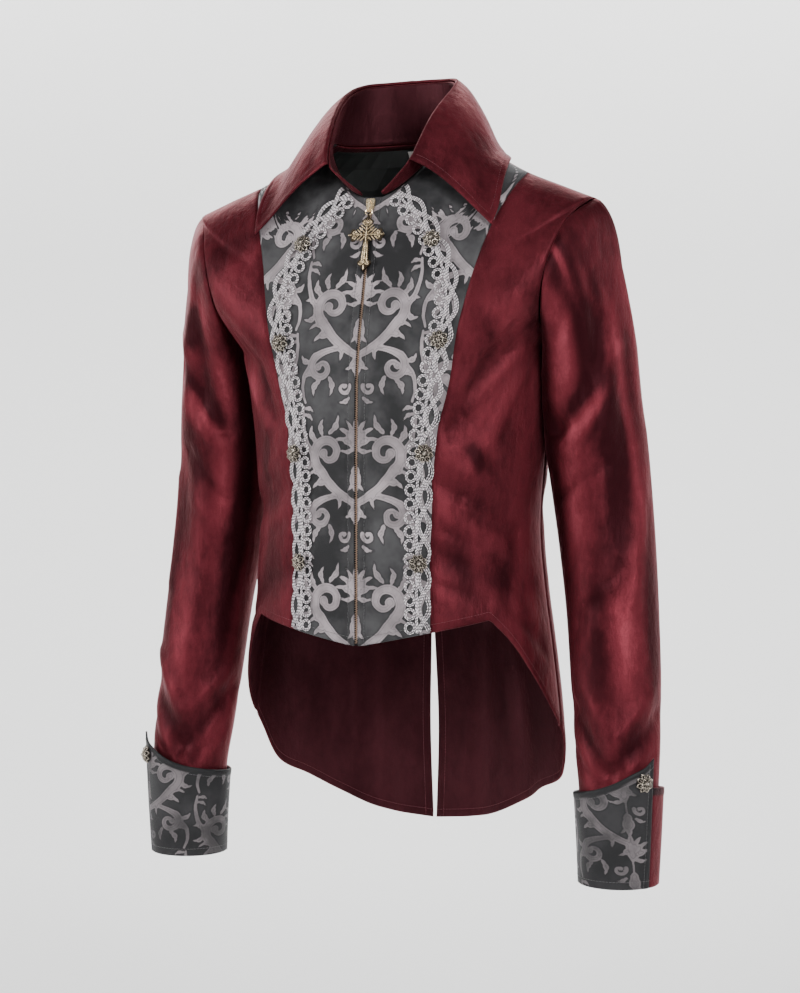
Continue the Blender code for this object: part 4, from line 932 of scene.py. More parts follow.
@dataclass(frozen=True)
class Velvet:
    """Wine velvet with a short, glossy pile, with painted shade in its folds, painted highlight on their
    ridges and a painted sheen at its edges.
    """

    name: str = "wine_velvet"
    # Colours from painted shade through the velvet's own colour to painted highlight; the highlight colour
    # also makes the painted sheen at the edges.
    painted_shade: tuple = (0.02, 0.0034, 0.005)
    full: tuple = (0.112, 0.0172, 0.024)
    bright: tuple = (0.26, 0.05, 0.067)
    band: tuple = (0.012, 0.011, 0.012)
    gloss: float = 0.35
    roughness: float = 0.42
    sheen: float = 0.12
    sheen_tint: tuple = (0.85, 0.22, 0.27)
    rim: float = 0.08
    crumple: float = 0.006

    def make(self) -> Material:
        """Build the material."""
        finish = Finish(self.name)
        nodes = finish.nodes
        nap = finish.group("nap", Vector=finish.place)
        patches = nodes.math("MULTIPLY_ADD", nap["Patches"], 0.42, 0.265)
        # Painted shade and highlight: the fold mask, with random patches, darkens troughs and lightens
        # ridges.
        lie = nodes.math("MULTIPLY_ADD", finish.mask("lie"), 0.58, patches)
        colour = nodes.mix(nodes.span(lie, -0.05, 1.0), self.painted_shade, self.full)
        colour = nodes.mix(nodes.span(lie, 0.78, 1.45), colour, self.bright)
        # Painted sheen: the colour turns to the highlight colour where the surface turns away from the
        # camera.
        facing = nodes.add("ShaderNodeLayerWeight", in_Blend=0.34).outputs["Facing"]
        edge = nodes.math("MULTIPLY", nodes.math("POWER", facing, 1.6), self.rim, clamp=True)
        colour = nodes.mix(edge, colour, self.bright)
        grain = nodes.span(nap["Grain"], 0.3, 0.75, 0.8, 1.16)
        shaded = nodes.add("ShaderNodeVectorMath", operation="SCALE")
        nodes.feed(shaded.inputs[0], colour)
        nodes.feed(shaded.inputs["Scale"], grain)
        colour = nodes.mix(finish.mask("band"), shaded.outputs[0], self.band)
        finish.shade(
            Base_Color=colour, Roughness=self.roughness, Metallic=self.gloss, Specular_IOR_Level=0.1,
            Specular_Tint=(0.9, 0.32, 0.38), Sheen_Weight=self.sheen, Sheen_Roughness=0.36,
            Sheen_Tint=self.sheen_tint,
        )
        finish.bump(nap["Height"], self.crumple, 0.8)
        return finish.material


@dataclass(frozen=True)
class PlainCloth:
    """Plain woven cloth: linings, label and tape."""

    name: str
    colour: tuple
    variation: float = 0.25
    roughness: float = 0.6
    specular: float = 0.3
    threads: float = 1400.0

    def make(self) -> Material:
        """Build the material."""
        finish = Finish(self.name)
        nodes = finish.nodes
        dark = tuple(value * (1 - self.variation) for value in self.colour)
        cloud = nodes.span(nodes.noise(finish.place, 38.0, 4.0), 0.3, 0.7)
        weave = finish.group("weave", Vector=finish.uv(), Threads=self.threads)["Height"]
        colour = nodes.mix(cloud, dark, self.colour)
        finish.shade(Base_Color=colour, Roughness=self.roughness, Specular_IOR_Level=self.specular)
        finish.bump(weave, 0.00006, 0.5)
        return finish.material


@dataclass(frozen=True)
class Damask:
    """Charcoal jacquard with mauve-grey figures, whose outlines come with the cloth."""

    name: str = "grey_jacquard"
    ground_dark: tuple = (0.015, 0.0148, 0.0158)
    ground_light: tuple = (0.056, 0.055, 0.0572)
    figure_dark: tuple = (0.16, 0.139, 0.146)
    figure_light: tuple = (0.33, 0.288, 0.3)
    edge: float = 0.35
    inner_line: float = -1.9

    def make(self) -> Material:
        """Build the material."""
        finish = Finish(self.name)
        nodes = finish.nodes
        far = finish.mask("figure")
        fray = nodes.math("MULTIPLY", nodes.math("SUBTRACT", nodes.noise(finish.place, 900.0, 2.0), 0.5), 0.5)
        far = nodes.math("ADD", far, fray)
        cloud = nodes.span(nodes.noise(finish.place, 17.0, 4.0, 0.6), 0.36, 0.68)
        ground = nodes.mix(cloud, self.ground_dark, self.ground_light)
        tone = nodes.span(nodes.noise(finish.place, 24.0, 5.0, 0.6), 0.34, 0.68)
        figure = nodes.mix(tone, self.figure_dark, self.figure_light)
        inside = nodes.span(far, -self.edge, self.edge, 1.0, 0.0)
        line = nodes.math("ABSOLUTE", nodes.math("SUBTRACT", far, self.inner_line))
        figure = nodes.mix(nodes.span(line, 0.1, 0.45, 0.4, 0.0), figure, self.ground_light)
        colour = nodes.mix(inside, ground, figure)
        halo = nodes.span(far, 0.5, 2.2, 0.55, 0.0)
        colour = nodes.mix(nodes.math("MULTIPLY", halo, nodes.math("SUBTRACT", 1.0, inside)), colour,
                           self.ground_dark)
        colour = nodes.mix(finish.mask("band"), colour, self.ground_dark)
        weave = finish.group("weave", Vector=finish.uv(), Threads=1100.0)["Height"]
        relief = nodes.math("MULTIPLY_ADD", weave, 0.4, inside)
        rough = nodes.span(inside, 0.0, 1.0, 0.5, 0.42)
        finish.shade(Base_Color=colour, Roughness=rough, Specular_IOR_Level=0.14)
        finish.bump(relief, 0.00012, 0.6)
        return finish.material


@dataclass(frozen=True)
class Cord:
    """Pale corded braid with glinting threads and painted shade in the grooves of its twist."""

    name: str = "silver_braid"
    # The dark colour is the painted shade of the twist's grooves, and also darkens random spots.
    dark: tuple = (0.06, 0.05, 0.055)
    light: tuple = (0.9, 0.83, 0.86)
    glint: tuple = (0.98, 0.95, 0.96)
    twist: float = 0.0032

    def make(self) -> Material:
        """Build the material."""
        finish = Finish(self.name)
        nodes = finish.nodes
        along = nodes.add("ShaderNodeUVMap", uv_map="cord").outputs[0]
        split = nodes.add("ShaderNodeSeparateXYZ", in_Vector=along)
        turn = nodes.math("MULTIPLY_ADD", split.outputs[0], 1 / self.twist, split.outputs[1])
        twist = nodes.math("SINE", nodes.math("MULTIPLY", turn, math.tau))
        soft = nodes.noise(finish.place, 420.0, 3.0, 0.6)
        # Painted shade: the colour darkens towards the dark colour in each groove of the twist.
        colour = nodes.mix(nodes.span(twist, -0.9, 0.5), self.dark, self.light)
        colour = nodes.mix(nodes.span(soft, 0.46, 0.62, 0.0, 0.6), colour, self.dark)
        spark = nodes.add("ShaderNodeTexVoronoi", in_Vector=finish.place, in_Scale=900.0)
        bright = nodes.span(spark.outputs["Distance"], 0.16, 0.34, 1.0, 0.0)
        colour = nodes.mix(bright, colour, self.glint)
        rough, metal = nodes.span(bright, 0.0, 1.0, 0.6, 0.28), nodes.math("MULTIPLY", bright, 0.6)
        finish.shade(Base_Color=colour, Roughness=rough, Metallic=metal, Specular_IOR_Level=0.55)
        finish.bump(twist, 0.00022, 0.9)
        return finish.material


@dataclass(frozen=True)
class AgedMetal:
    """Cast metal, dark in its hollows and rubbed bright on top."""

    name: str
    bright: tuple
    dark: tuple
    roughness: float = 0.32
    scale: float = 420.0
    dark_share: float = 0.6

    def make(self) -> Material:
        """Build the material."""
        finish = Finish(self.name)
        nodes = finish.nodes
        wear = finish.group("wear", Vector=finish.place, Scale=self.scale)
        share = nodes.math("MULTIPLY", wear["Hollow"], self.dark_share)
        colour = nodes.mix(share, self.bright, self.dark)
        rough = nodes.math("MULTIPLY_ADD", wear["Rub"], 0.18, self.roughness, clamp=True)
        finish.shade(Base_Color=colour, Roughness=rough, Metallic=nodes.span(share, 0.0, 1.0, 1.0, 0.7))
        finish.bump(wear["Rub"], 0.00006, 0.4)
        return finish.material


class Finishes:
    """All materials of the jacket, each made once."""

    def __init__(self) -> None:
        """Make the materials."""
        self.velvet = Velvet().make()
        # A darker copy of the velvet for the inner faces: partly the darker wrong side of the cloth, partly
        # painted shade inside the tails and the collar stand.
        self.wine_lining_and_painted_shade = Velvet(
            "wine_lining_and_painted_shade", (0.018, 0.0045, 0.006), (0.042, 0.011, 0.0142), (0.06, 0.016, 0.021),
            gloss=0.25, sheen=0.08,
        ).make()
        self.black_lining = PlainCloth("black_lining", (0.012, 0.0145, 0.0135), 0.4, 0.5, 0.35).make()
        self.label = PlainCloth("white_label", (0.78, 0.77, 0.74), 0.06, 0.55, 0.3, 900.0).make()
        self.tape = PlainCloth("zip_tape", (0.018, 0.017, 0.019), 0.3, 0.75, 0.2, 700.0).make()
        self.damask = Damask().make()
        # A darker copy of the jacquard for the cuffs: painted shade, as less light reaches them lower down.
        self.shaded_cuff_damask = Damask(
            "cuff_jacquard_painted_shade", ground_light=(0.03, 0.0295, 0.031), figure_dark=(0.048, 0.044, 0.046),
            figure_light=(0.15, 0.132, 0.138),
        ).make()
        self.braid = Cord().make()
        self.thread = PlainCloth("wine_thread", (0.115, 0.017, 0.026), 0.3, 0.45, 0.4, 2000.0).make()
        self.grey_thread = PlainCloth("grey_thread", (0.085, 0.08, 0.084), 0.2, 0.5, 0.4, 2000.0).make()
        self.teeth = AgedMetal("copper_teeth", (0.52, 0.36, 0.26), (0.12, 0.07, 0.05),
                               0.34, 900.0, 0.5).make()
        self.gold = AgedMetal("pale_gold", (0.86, 0.7, 0.45), (0.42, 0.3, 0.16), 0.22, 700.0, 0.35).make()
        self.brass = AgedMetal("antique_brass", (0.7, 0.56, 0.36), (0.1, 0.07, 0.04), 0.25, 620.0, 0.7).make()
        # A near-black ground that paints the shade between the cross's relief wires.
        self.brass_dark = AgedMetal(
            "brass_painted_shade_ground", (0.055, 0.04, 0.026), (0.02, 0.015, 0.01), 0.5, 600.0).make()
        self.silver = AgedMetal("antique_silver", (0.58, 0.52, 0.44), (0.045, 0.036, 0.028),
                                0.25, 560.0, 0.85).make()
        # A near-black ground that paints the shade between the buttons' petals.
        self.silver_dark = AgedMetal(
            "silver_painted_shade_ground", (0.03, 0.025, 0.021), (0.012, 0.01, 0.009), 0.55, 600.0).make()


@dataclass(frozen=True)
class Figure:
    """Scroll-and-leaf figure of the jacquard: half of one repeat, in millimetres across and down.

    Scrolls have a middle, outer and inner radius, first angle, turns and two half widths. Stems are
    points with two half widths. Leaves have both ends, a bend and a half width.
    """

    width: float = 64.0
    height: float = 146.0
    scrolls: tuple = (
        (31, 48, 19.5, 5.4, 60, -1.15, 5.6, 2.8, 4.9), (39, 110, 13.5, 4.0, -60, 1.1, 4.2, 2.2, 3.6),
        (14, 130, 7.0, 2.4, -160, -0.9, 2.2, 1.4, 2.2),
    )
    stems: tuple = (
        (((1, 98), (12, 92), (27, 81), (40.7, 64.9)), 3.4, 5.4),
        (((13, 91), (25, 91), (37, 94), (45.7, 98.3)), 2, 4),
        (((0, 0), (0, 30), (0, 60), (0, 100), (0, 146)), 1.0, 1.0),
        (((50, 48), (57, 36), (61, 18), (60, 2)), 3.0, 1.2),
        (((52, 108), (59, 118), (61, 132), (58, 144)), 2.6, 1.2),
    )
    leaves: tuple = (
        (0, 42, 0, 11, 0, 4.2), (1, 41, 12, 15, -3, 3.4), (1, 42, 21, 23, -4, 3.3), (1, 43, 26, 35, -4, 2.8),
        (1, 44, 20, 44, 3, 1.9), (0, 64, 0, 90, 0, 4.6), (1, 68, 10, 86, 3, 2.6), (0, 104, 0, 122, 0, 3.4),
        (2, 101, 14, 112, 3, 2.6), (24, 83, 20, 104, 4, 2.8), (31, 78, 50, 84, -4, 2.9),
        (36, 70, 56, 72, -5, 2.4), (50, 56, 63, 60, 4, 2.2), (50, 47, 63, 42, -3, 2.4),
        (46, 36, 50, 20, 3, 2.6), (38, 29, 36, 14, 3, 2.2), (29, 28, 20, 9, -3, 2.4),
        (52, 104, 62, 96, 3, 2.2), (51, 116, 62, 122, -3, 2.2), (42, 123, 48, 138, -3, 2.4),
        (30, 120, 30, 138, 3, 2.3), (58, 4, 48, 8, 2, 1.7), (59, 10, 49, 17, 2, 1.6),
        (8, 140, 20, 144, 2, 1.8),
    )

    def strokes(self) -> list:
        """List all strokes as points with half widths."""
        result = []
        for x, y, outer, inner, first, turns, wide, thin, dot in self.scrolls:
            share = np.linspace(0, 1, 34)
            radius = outer * (inner / outer) ** share
            angle = np.radians(first) + math.tau * turns * share
            points = np.stack([x + radius * np.cos(angle), y + radius * np.sin(angle)], -1)
            result.append((points, wide + (thin - wide) * share))
            result.append((points[-1:].repeat(2, 0) + ((0, 0), (0.4, 0.4)), np.full(2, float(dot))))
        for points, start, end in self.stems:
            keys = np.arange(len(points))
            fine = np.linspace(0, len(points) - 1, 5 * len(points))
            line = np.stack([smooth(keys, [p[axis] for p in points], fine) for axis in (0, 1)], -1)
            result.append((line, np.linspace(start, end, len(fine))))
        for x_a, y_a, x_b, y_b, bend, wide in self.leaves:
            share = np.linspace(0, 1, 13)
            along = np.array([x_b - x_a, y_b - y_a], float)
            beside = np.array([-along[1], along[0]]) / np.hypot(*along)
            bow = (np.sin(math.pi * share) * bend)[:, None]
            line = np.array([x_a, y_a]) + share[:, None] * along + bow * beside
            lobes = 1 + 0.22 * np.cos(share * math.tau * 2.5)
            result.append((line, 1.2 * wide * np.sin(math.pi * (0.06 + 0.94 * share) ** 0.62) * lobes))
        return result

    def distance(self, across: Array, down: Array) -> Array:
        """Give the distance to the figure's outline, negative inside, in millimetres."""
        across = np.abs(across)
        best = np.full(across.shape, 99.0)
        strokes = self.strokes()
        for cell in range(3):
            odd = cell % 2 == 1
            start = cell * self.width
            local = (start + self.width - across) if odd else (across - start)
            fall = (down + (self.height / 2 if odd else 0)) % self.height
            for shift in (-self.height, 0, self.height):
                for points, widths in strokes:
                    best = np.minimum(best, self.to_stroke(local, fall + shift, points, widths))
        return best

    @staticmethod
    def to_stroke(across: Array, down: Array, points: Array, widths: Array) -> Array:
        """Give the distance to one stroke; places far from it are left out."""
        low, high = points.min(0) - 9, points.max(0) + 9
        near = (across > low[0]) & (across < high[0]) & (down > low[1]) & (down < high[1])
        result = np.full(across.shape, 99.0)
        if not near.any():
            return result
        x, y = across[near], down[near]
        best = np.full(x.shape, 99.0)
        for index in range(len(points) - 1):
            step = points[index + 1] - points[index]
            share = np.clip(((x - points[index, 0]) * step[0] + (y - points[index, 1]) * step[1])
                            / max(float(step @ step), 1e-6), 0, 1)
            apart = np.hypot(x - points[index, 0] - share * step[0], y - points[index, 1] - share * step[1])
            best = np.minimum(best, apart - widths[index] - share * (widths[index + 1] - widths[index]))
        result[near] = best
        return result


def deselect_all() -> None:
    """Leave edit mode and deselect every object."""
    if bpy.context.object and bpy.context.object.mode != "OBJECT":
        bpy.ops.object.mode_set(mode="OBJECT")
    bpy.ops.object.select_all(action="DESELECT")


def take_pattern(name: str, parts: list) -> Piece:
    """Join modelled parts into one pattern at the origin, with their materials.

    Args:
        name: The pattern's name.
        parts: Objects to join; the first stays.

    Returns:
        The joined object, unlinked from the scene.
    """
    deselect_all()
    for part in parts:
        part.select_set(True)
    bpy.context.view_layer.objects.active = parts[0]
    if len(parts) > 1:
        bpy.ops.object.join()
    bpy.ops.object.transform_apply(location=True, rotation=True, scale=True)
    bpy.ops.object.shade_smooth()
    pattern = parts[0]
    pattern.name = name
    bpy.context.scene.collection.objects.unlink(pattern)
    return pattern


def select_where(piece: Piece, test: object) -> None:
    """Select the vertices of the active mesh that pass a test, from edit mode."""
    work = bmesh.from_edit_mesh(piece.data)
    for vertex in work.verts:
        vertex.select = bool(test(vertex.co))
    work.select_flush_mode()
    bmesh.update_edit_mesh(piece.data)


@dataclass(frozen=True)
class Stitch:
    """A machine stitch and how stitches follow each other."""

    length: float = 0.0026
    pitch: float = 0.0034
    half_width: float = 0.0002
    lift: float = 0.0001

    def pattern(self) -> Piece:
        """Model one stitch: a short thread whose ends dip into the cloth."""
        deselect_all()
        bpy.ops.mesh.primitive_cylinder_add(vertices=6, radius=self.half_width, depth=self.length,
                                            end_fill_type="NGON", rotation=(0, math.pi / 2, 0))
        thread = bpy.context.object
        bpy.ops.object.transform_apply(location=False, rotation=True, scale=False)
        bpy.ops.object.mode_set(mode="EDIT")
        bpy.ops.mesh.select_all(action="DESELECT")
        half = self.length / 2
        for end in (-1, 1):
            select_where(thread, lambda co, end=end: co.x * end > half * 0.9)
            bpy.ops.mesh.inset(thickness=self.half_width * 0.5, depth=self.half_width * 0.6)
            bpy.ops.transform.translate(value=(0, 0, -self.half_width * 0.7))
            bpy.ops.mesh.select_all(action="DESELECT")
        bpy.ops.object.mode_set(mode="OBJECT")
        return take_pattern("stitch_pattern", [thread])

    def sew(self, name: str, lines: list, material: Material) -> Piece:
        """Sew along lines.

        Args:
            name: The piece's name.
            lines: Pairs of points and normals.
            material: The thread.

        Returns:
            All the stitches as one piece.
        """
        places = []
        axes = []
        for points, normals in lines:
            far = distances(points)
            spots = np.arange(self.pitch / 2, far[-1], self.pitch)
            if len(spots) < 2:
                continue
            line = resample(far, np.concatenate([points, normals], 1), spots)
            along = unit(np.gradient(line[:, :3], axis=0))
            up = unit(line[:, 3:])
            places.append(line[:, :3] + up * self.lift)
            axes.append(np.stack([along, unit(np.cross(up, along)), up], 1))
        return add_copies(name, self.pattern(), np.concatenate(places), np.concatenate(axes), material)


class Tailor:
    """Attaches finished pieces to their bodies and hides the nodes they stand for."""

    def hand_over(self, piece: Piece, slot: str, nodes: tuple = (), body: str = GARMENT) -> None:
        """Let a piece ride on its body and stand for its nodes."""
        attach(piece, body)
        if nodes:
            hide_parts(*nodes)
        LOG.info("made %s", piece.name)

    def cloth(self, node: str, sheet: Sheet, thick: float, faces: tuple, slot: str, hold: Hold,
              rests_on: tuple) -> None:
        """Make a sheet of cloth a shell and hand it over.

        Args:
            node: The CAD node that it stands for.
            sheet: Its outer face.
            thick: Its thickness.
            faces: Finishes of the outer and the inner face.
            slot: A material slot name; not used.
            hold: How it is held; not used.
            rests_on: The nodes whose cloth it rests on; not used.
        """
        piece = add_shell(node + "_cloth", sheet, thick, *faces)
        self.hand_over(piece, slot, (node,))
        grid = sheet.points
        if sheet.closed:
            grid = np.concatenate([grid, grid[:, :1]], 1)


@dataclass
class Body:
    """The torso: jacquard panels, velvet fronts and the split back."""

    cut: TorsoCut
    finishes: Finishes
    tailor: Tailor
    velvet_thick: float = 0.0018
    jacquard_thick: float = 0.0015
    stitch_inset: float = 0.0078
    zip_stitch_inset: float = 0.0072
    figure_shift: float = 16.0

    def build(self) -> None:
        """Build the pieces of the torso on both sides."""
        self.sheets = {side: {} for side in Side}
        self.stitching: list = []
        for side in Side:
            self.build_panel(side)
            self.build_side(side)
            self.build_back(side)

    def build_panel(self, side: Side) -> None:
        """Build the jacquard front panel with its placket by the zip."""
        sheet = self.cut.panel(side.value)
        from_zip = sheet.border("first")
        groove = 0.001 * np.exp(-(((from_zip - self.zip_stitch_inset) / 0.0016) ** 2))
        swell = -0.0011 * np.exp(-(((from_zip - 0.0034) / 0.0032) ** 2))
        at_zip = np.exp(-(((from_zip - 0.006) / 0.005) ** 2))
        pucker = 0.00035 * np.sin(sheet.down * 560 + side.value) * at_zip
        sheet.push(groove + swell + pucker)
        sheet.seam("last top", 0.0012, 0.0026)
        sheet.seam("bottom", 0.0006, 0.0016)
        across = (sheet.across + self.cut.zip_half_gap) / MM
        figure = Figure().distance(across, -sheet.points[..., 2] / MM + self.figure_shift)
        # Near the top the figures give way to dark ground: painted shade on the shoulder.
        sheet.fields["figure"] = figure + 4 * np.clip((sheet.points[..., 2] + 0.09) / 0.03, 0, 1)
        faces = (self.finishes.damask, self.finishes.black_lining)
        self.tailor.cloth("front_panel_" + side.label, sheet, self.jacquard_thick, faces, "jacquard",
                          Hold.HUNG, ("collar_stand",))
        self.sheets[side]["panel"] = sheet
        self.stitching.append(("grey", sheet.stitch_line("first", self.zip_stitch_inset)))
        self.stitching.append(("grey", sheet.stitch_line("bottom", self.stitch_inset)))

    def build_side(self, side: Side) -> None:
        """Build the velvet front."""
        sheet = self.cut.front_side(side.value)
        # Mask for the velvet's painted shade in troughs and painted highlight on ridges.
        sheet.fields["lie"] = self.cut.lie(sheet.points)
        sheet.seam("first last top")
        sheet.seam("bottom", 0.0007, 0.002)
        self.hang_velvet(side, "side", "front_side_", sheet)
        self.stitching.append(("wine", sheet.stitch_line("bottom", self.stitch_inset)))

    def build_back(self, side: Side) -> None:
        """Build one half of the back with its tail."""
        sheet = self.cut.half_back(side.value)
        # Mask for the velvet's painted shade in troughs and painted highlight on ridges.
        sheet.fields["lie"] = self.cut.lie(sheet.points)
        vent = np.clip((-0.45 - sheet.points[..., 2]) / 0.03, 0, 1)
        sheet.push(0.0013 * np.exp(-((sheet.border("first") / 0.003) ** 2)) * (1 - vent))
        sheet.seam("last top")
        sheet.seam("bottom", 0.0007, 0.002)
        self.hang_velvet(side, "back", "back_", sheet)
        for border in ("bottom", "first"):
            points, normals = sheet.stitch_line(border, self.stitch_inset)
            keep = points[:, 2] < -0.47
            self.stitching.append(("wine", (points[keep], normals[keep])))
            inner = points[keep] - normals[keep] * self.velvet_thick
            self.stitching.append(("wine", (inner, -normals[keep])))

    def hang_velvet(self, side: Side, part: str, name: str, sheet: Sheet) -> None:
        """Make and keep a velvet piece of the torso."""
        faces = (self.finishes.velvet, self.finishes.wine_lining_and_painted_shade)
        self.tailor.cloth(name + side.label, sheet, self.velvet_thick, faces, "velvet", Hold.HUNG,
                          ("front_panel_" + side.label,))
        self.sheets[side][part] = sheet

    def surface(self, side: Side | None = None) -> Surface:
        """Give the outer surface of the fronts of one side, or of the whole torso."""
        if side is None:
            return Surface([sheet for sheets in self.sheets.values() for sheet in sheets.values()])
        return Surface([self.sheets[side]["panel"], self.sheets[side]["side"]])


@dataclass
class Arm:
    """One sleeve with its cuff."""

    side: Side
    sleeve: SleeveCut
    cuff: CuffCut
    body: Body
    velvet_thick: float = 0.0018
    cuff_thick: float = 0.002
    band: float = 0.0058
    back_band: float = 0.008

    def build(self, torso: Surface) -> list:
        """Build the sleeve and the cuff, and give the cuff's stitch lines."""
        finishes, tailor = self.body.finishes, self.body.tailor
        label = self.side.label
        sheet = self.sleeve.lay_out(self.body.cut, torso)
        sheet.seam("top", 0.001, 0.0028)
        tailor.cloth("sleeve_" + label, sheet, self.velvet_thick, (finishes.velvet, finishes.wine_lining_and_painted_shade),
                     "velvet", Hold.HUNG, ("front_side_" + label, "back_" + label))
        front = self.cuff.piece(self.cuff.front_top, self.side.value, 60, 92)
        angle = np.linspace(self.cuff.front_top[0][0], self.cuff.front_top[-1][0], 92)
        across = front.across / MM + 9.0 * self.side.value + 8.0
        front.fields["figure"] = Figure().distance(across, -front.points[..., 2] / MM * 1.25 + 20.0) * 0.85
        near = np.minimum(front.border("top"), front.border("last"))
        front.fields["band"] = np.clip((self.band - near) / 0.0004, 0, 1)
        front.push(-0.0005 * np.clip((self.band - near) / 0.001, 0, 1))
        tailor.cloth("cuff_front_" + label, front, self.cuff_thick,
                     (finishes.shaded_cuff_damask, finishes.black_lining), "jacquard", Hold.FOLDED,
                     ("sleeve_" + label,))
        back = self.cuff.piece(self.cuff.back_top, self.side.value, 36, 60)
        back.fields["band"] = np.clip((self.back_band - back.border("top")) / 0.0004, 0, 1)
        back.push(-0.0004 * np.clip((self.back_band - back.border("top")) / 0.001, 0, 1))
        tailor.cloth("cuff_back_" + label, back, self.cuff_thick, (finishes.velvet, finishes.black_lining),
                     "velvet", Hold.FOLDED, ("sleeve_" + label,))
        return [("grey", front.stitch_line(name, self.band + 0.0012))
                for name in ("top", "last", "first", "bottom")]


@dataclass
class Collar:
    """The pointed fold-down collar: stand and fall, by angle round the neck."""

    body: Body
    stand_top: tuple = metres((
        (10, 12, -81, -64), (24, 29, -85, -50), (40, 44, -86, -34), (60, 53, -52, 9), (85, 58, -6, 44),
        (115, 51, 27, 60.5), (150, 27, 46, 65.5), (180, 0, 51, 66.8),
    ), (0,))
    fall_edge: tuple = metres((
        (40, 127.5, -80, -101), (58, 128.5, -56, -73), (80, 121.5, -20, -40), (108, 103, 38, -22),
        (145, 58, 80, -12), (180, 0, 91, -12),
    ), (0,))
    seam_rise: float = 0.0006
    shares: tuple = (0.1, 0.32, 0.55, 0.78, 1.0)
    roll_out: float = 0.006
    roll_rise: float = 0.003
    bulge: float = 0.006
    clearance: float = 0.0058
    thick: float = 0.0018
    stitch_inset: float = 0.0072

    def line(self, table: tuple, angle: Array, side: Array) -> Array:
        """Give points of one of the collar's lines."""
        return np.stack([side * read(table, 1, angle), read(table, 2, angle), read(table, 3, angle)], -1)

    def seam(self, angle: Array, side: Array) -> Array:
        """Give points on the neck seam."""
        cut = self.body.cut
        share = np.minimum(angle, 180 - angle) / 90
        front = cut.point(cut.front, np.zeros(angle.shape), share, 1, False)
        back = cut.point(cut.back, np.zeros(angle.shape), share, 1, False)
        points = np.where((angle <= 90)[:, None], front, back) + np.array((0, 0, self.seam_rise))
        return points * np.stack([side, side * side, side * side], -1)

    def round_neck(self, first: float, count: int) -> tuple[Array, Array]:
        """List angles and sides from the right front round the back to the left front."""
        half = np.linspace(first, 180, count)
        sides = np.concatenate([np.full(count, -1.0), np.ones(count - 1)])
        return np.concatenate([half, half[-2::-1]]), sides

    def build(self, torso: Surface) -> list:
        """Build the stand and the fall, and give their stitch lines."""
        finishes, tailor = self.body.finishes, self.body.tailor
        angle, side = self.round_neck(10, 64)
        top, foot = self.line(self.stand_top, angle, side), self.seam(angle, side)
        share = np.linspace(0, 1, 18)[:, None, None]
        stand = Sheet(top + (foot - top) * share, centre=(0, -0.005, 0.0))
        stand.seam("bottom", 0.0008, 0.0025)
        tailor.cloth("collar_stand", stand, self.thick, (finishes.velvet, finishes.wine_lining_and_painted_shade), "velvet",
                     Hold.FOLDED, ("front_panel_left",))
        angle, side = self.round_neck(40, 84)
        top, foot = self.line(self.stand_top, angle, side), self.seam(angle, side)
        rise = unit(top - foot)
        along = self.line(self.stand_top, np.minimum(angle + 2, 180), side)
        along = along - self.line(self.stand_top, angle - 2, side)
        outward = unit(np.cross(rise, along))
        outward *= np.sign((outward * top * (1, 1, 0)).sum(1, keepdims=True))
        outward[angle > 176] = (0.0, 1.0, 0.0)
        end = self.line(self.fall_edge, angle, side)
        rows = [top + rise * self.roll_rise, top + rise * (self.roll_rise + 0.0012) + outward * 0.003]
        keys = [0.0, 0.035]
        for part in self.shares:
            start = top + outward * self.roll_out
            bulge = (outward * 0.6 + (0, 0, 0.8)) * self.bulge * math.sin(math.pi * part ** 0.7)
            rows.append(torso.clear(start + (end - start) * part + bulge,
                                    np.full(len(angle), self.clearance)))
            keys.append(part)
        rows = np.array(rows)
        for _ in range(22):
            rows[3:, 1:-1] = (rows[3:, :-2] + 2 * rows[3:, 1:-1] + rows[3:, 2:]) / 4
        fine = np.concatenate([np.linspace(0, 0.1, 9, endpoint=False), np.linspace(0.1, 1, 38)])
        grid = np.empty((len(fine),) + rows.shape[1:])
        for column in range(rows.shape[1]):
            for axis in range(3):
                grid[:, column, axis] = smooth(keys, rows[:, column, axis], fine)
        fall = Sheet(grid, centre=(0, 0, -0.12))
        near = np.minimum(np.minimum(fall.border("first"), fall.border("last")), fall.border("bottom"))
        fall.push(0.0007 * np.exp(-(((near - self.stitch_inset) / 0.0016) ** 2)))
        tailor.cloth("collar_fall", fall, self.thick, (finishes.velvet, finishes.velvet), "velvet",
                     Hold.FOLDED, ("collar_stand",))
        lines = []
        for name in ("first", "last", "bottom"):
            points, normals = fall.stitch_line(name, self.stitch_inset)
            inside = slice(6, -3) if name == "bottom" else slice(4, -3)
            lines.append(("wine", (points[inside], normals[inside])))
        return lines


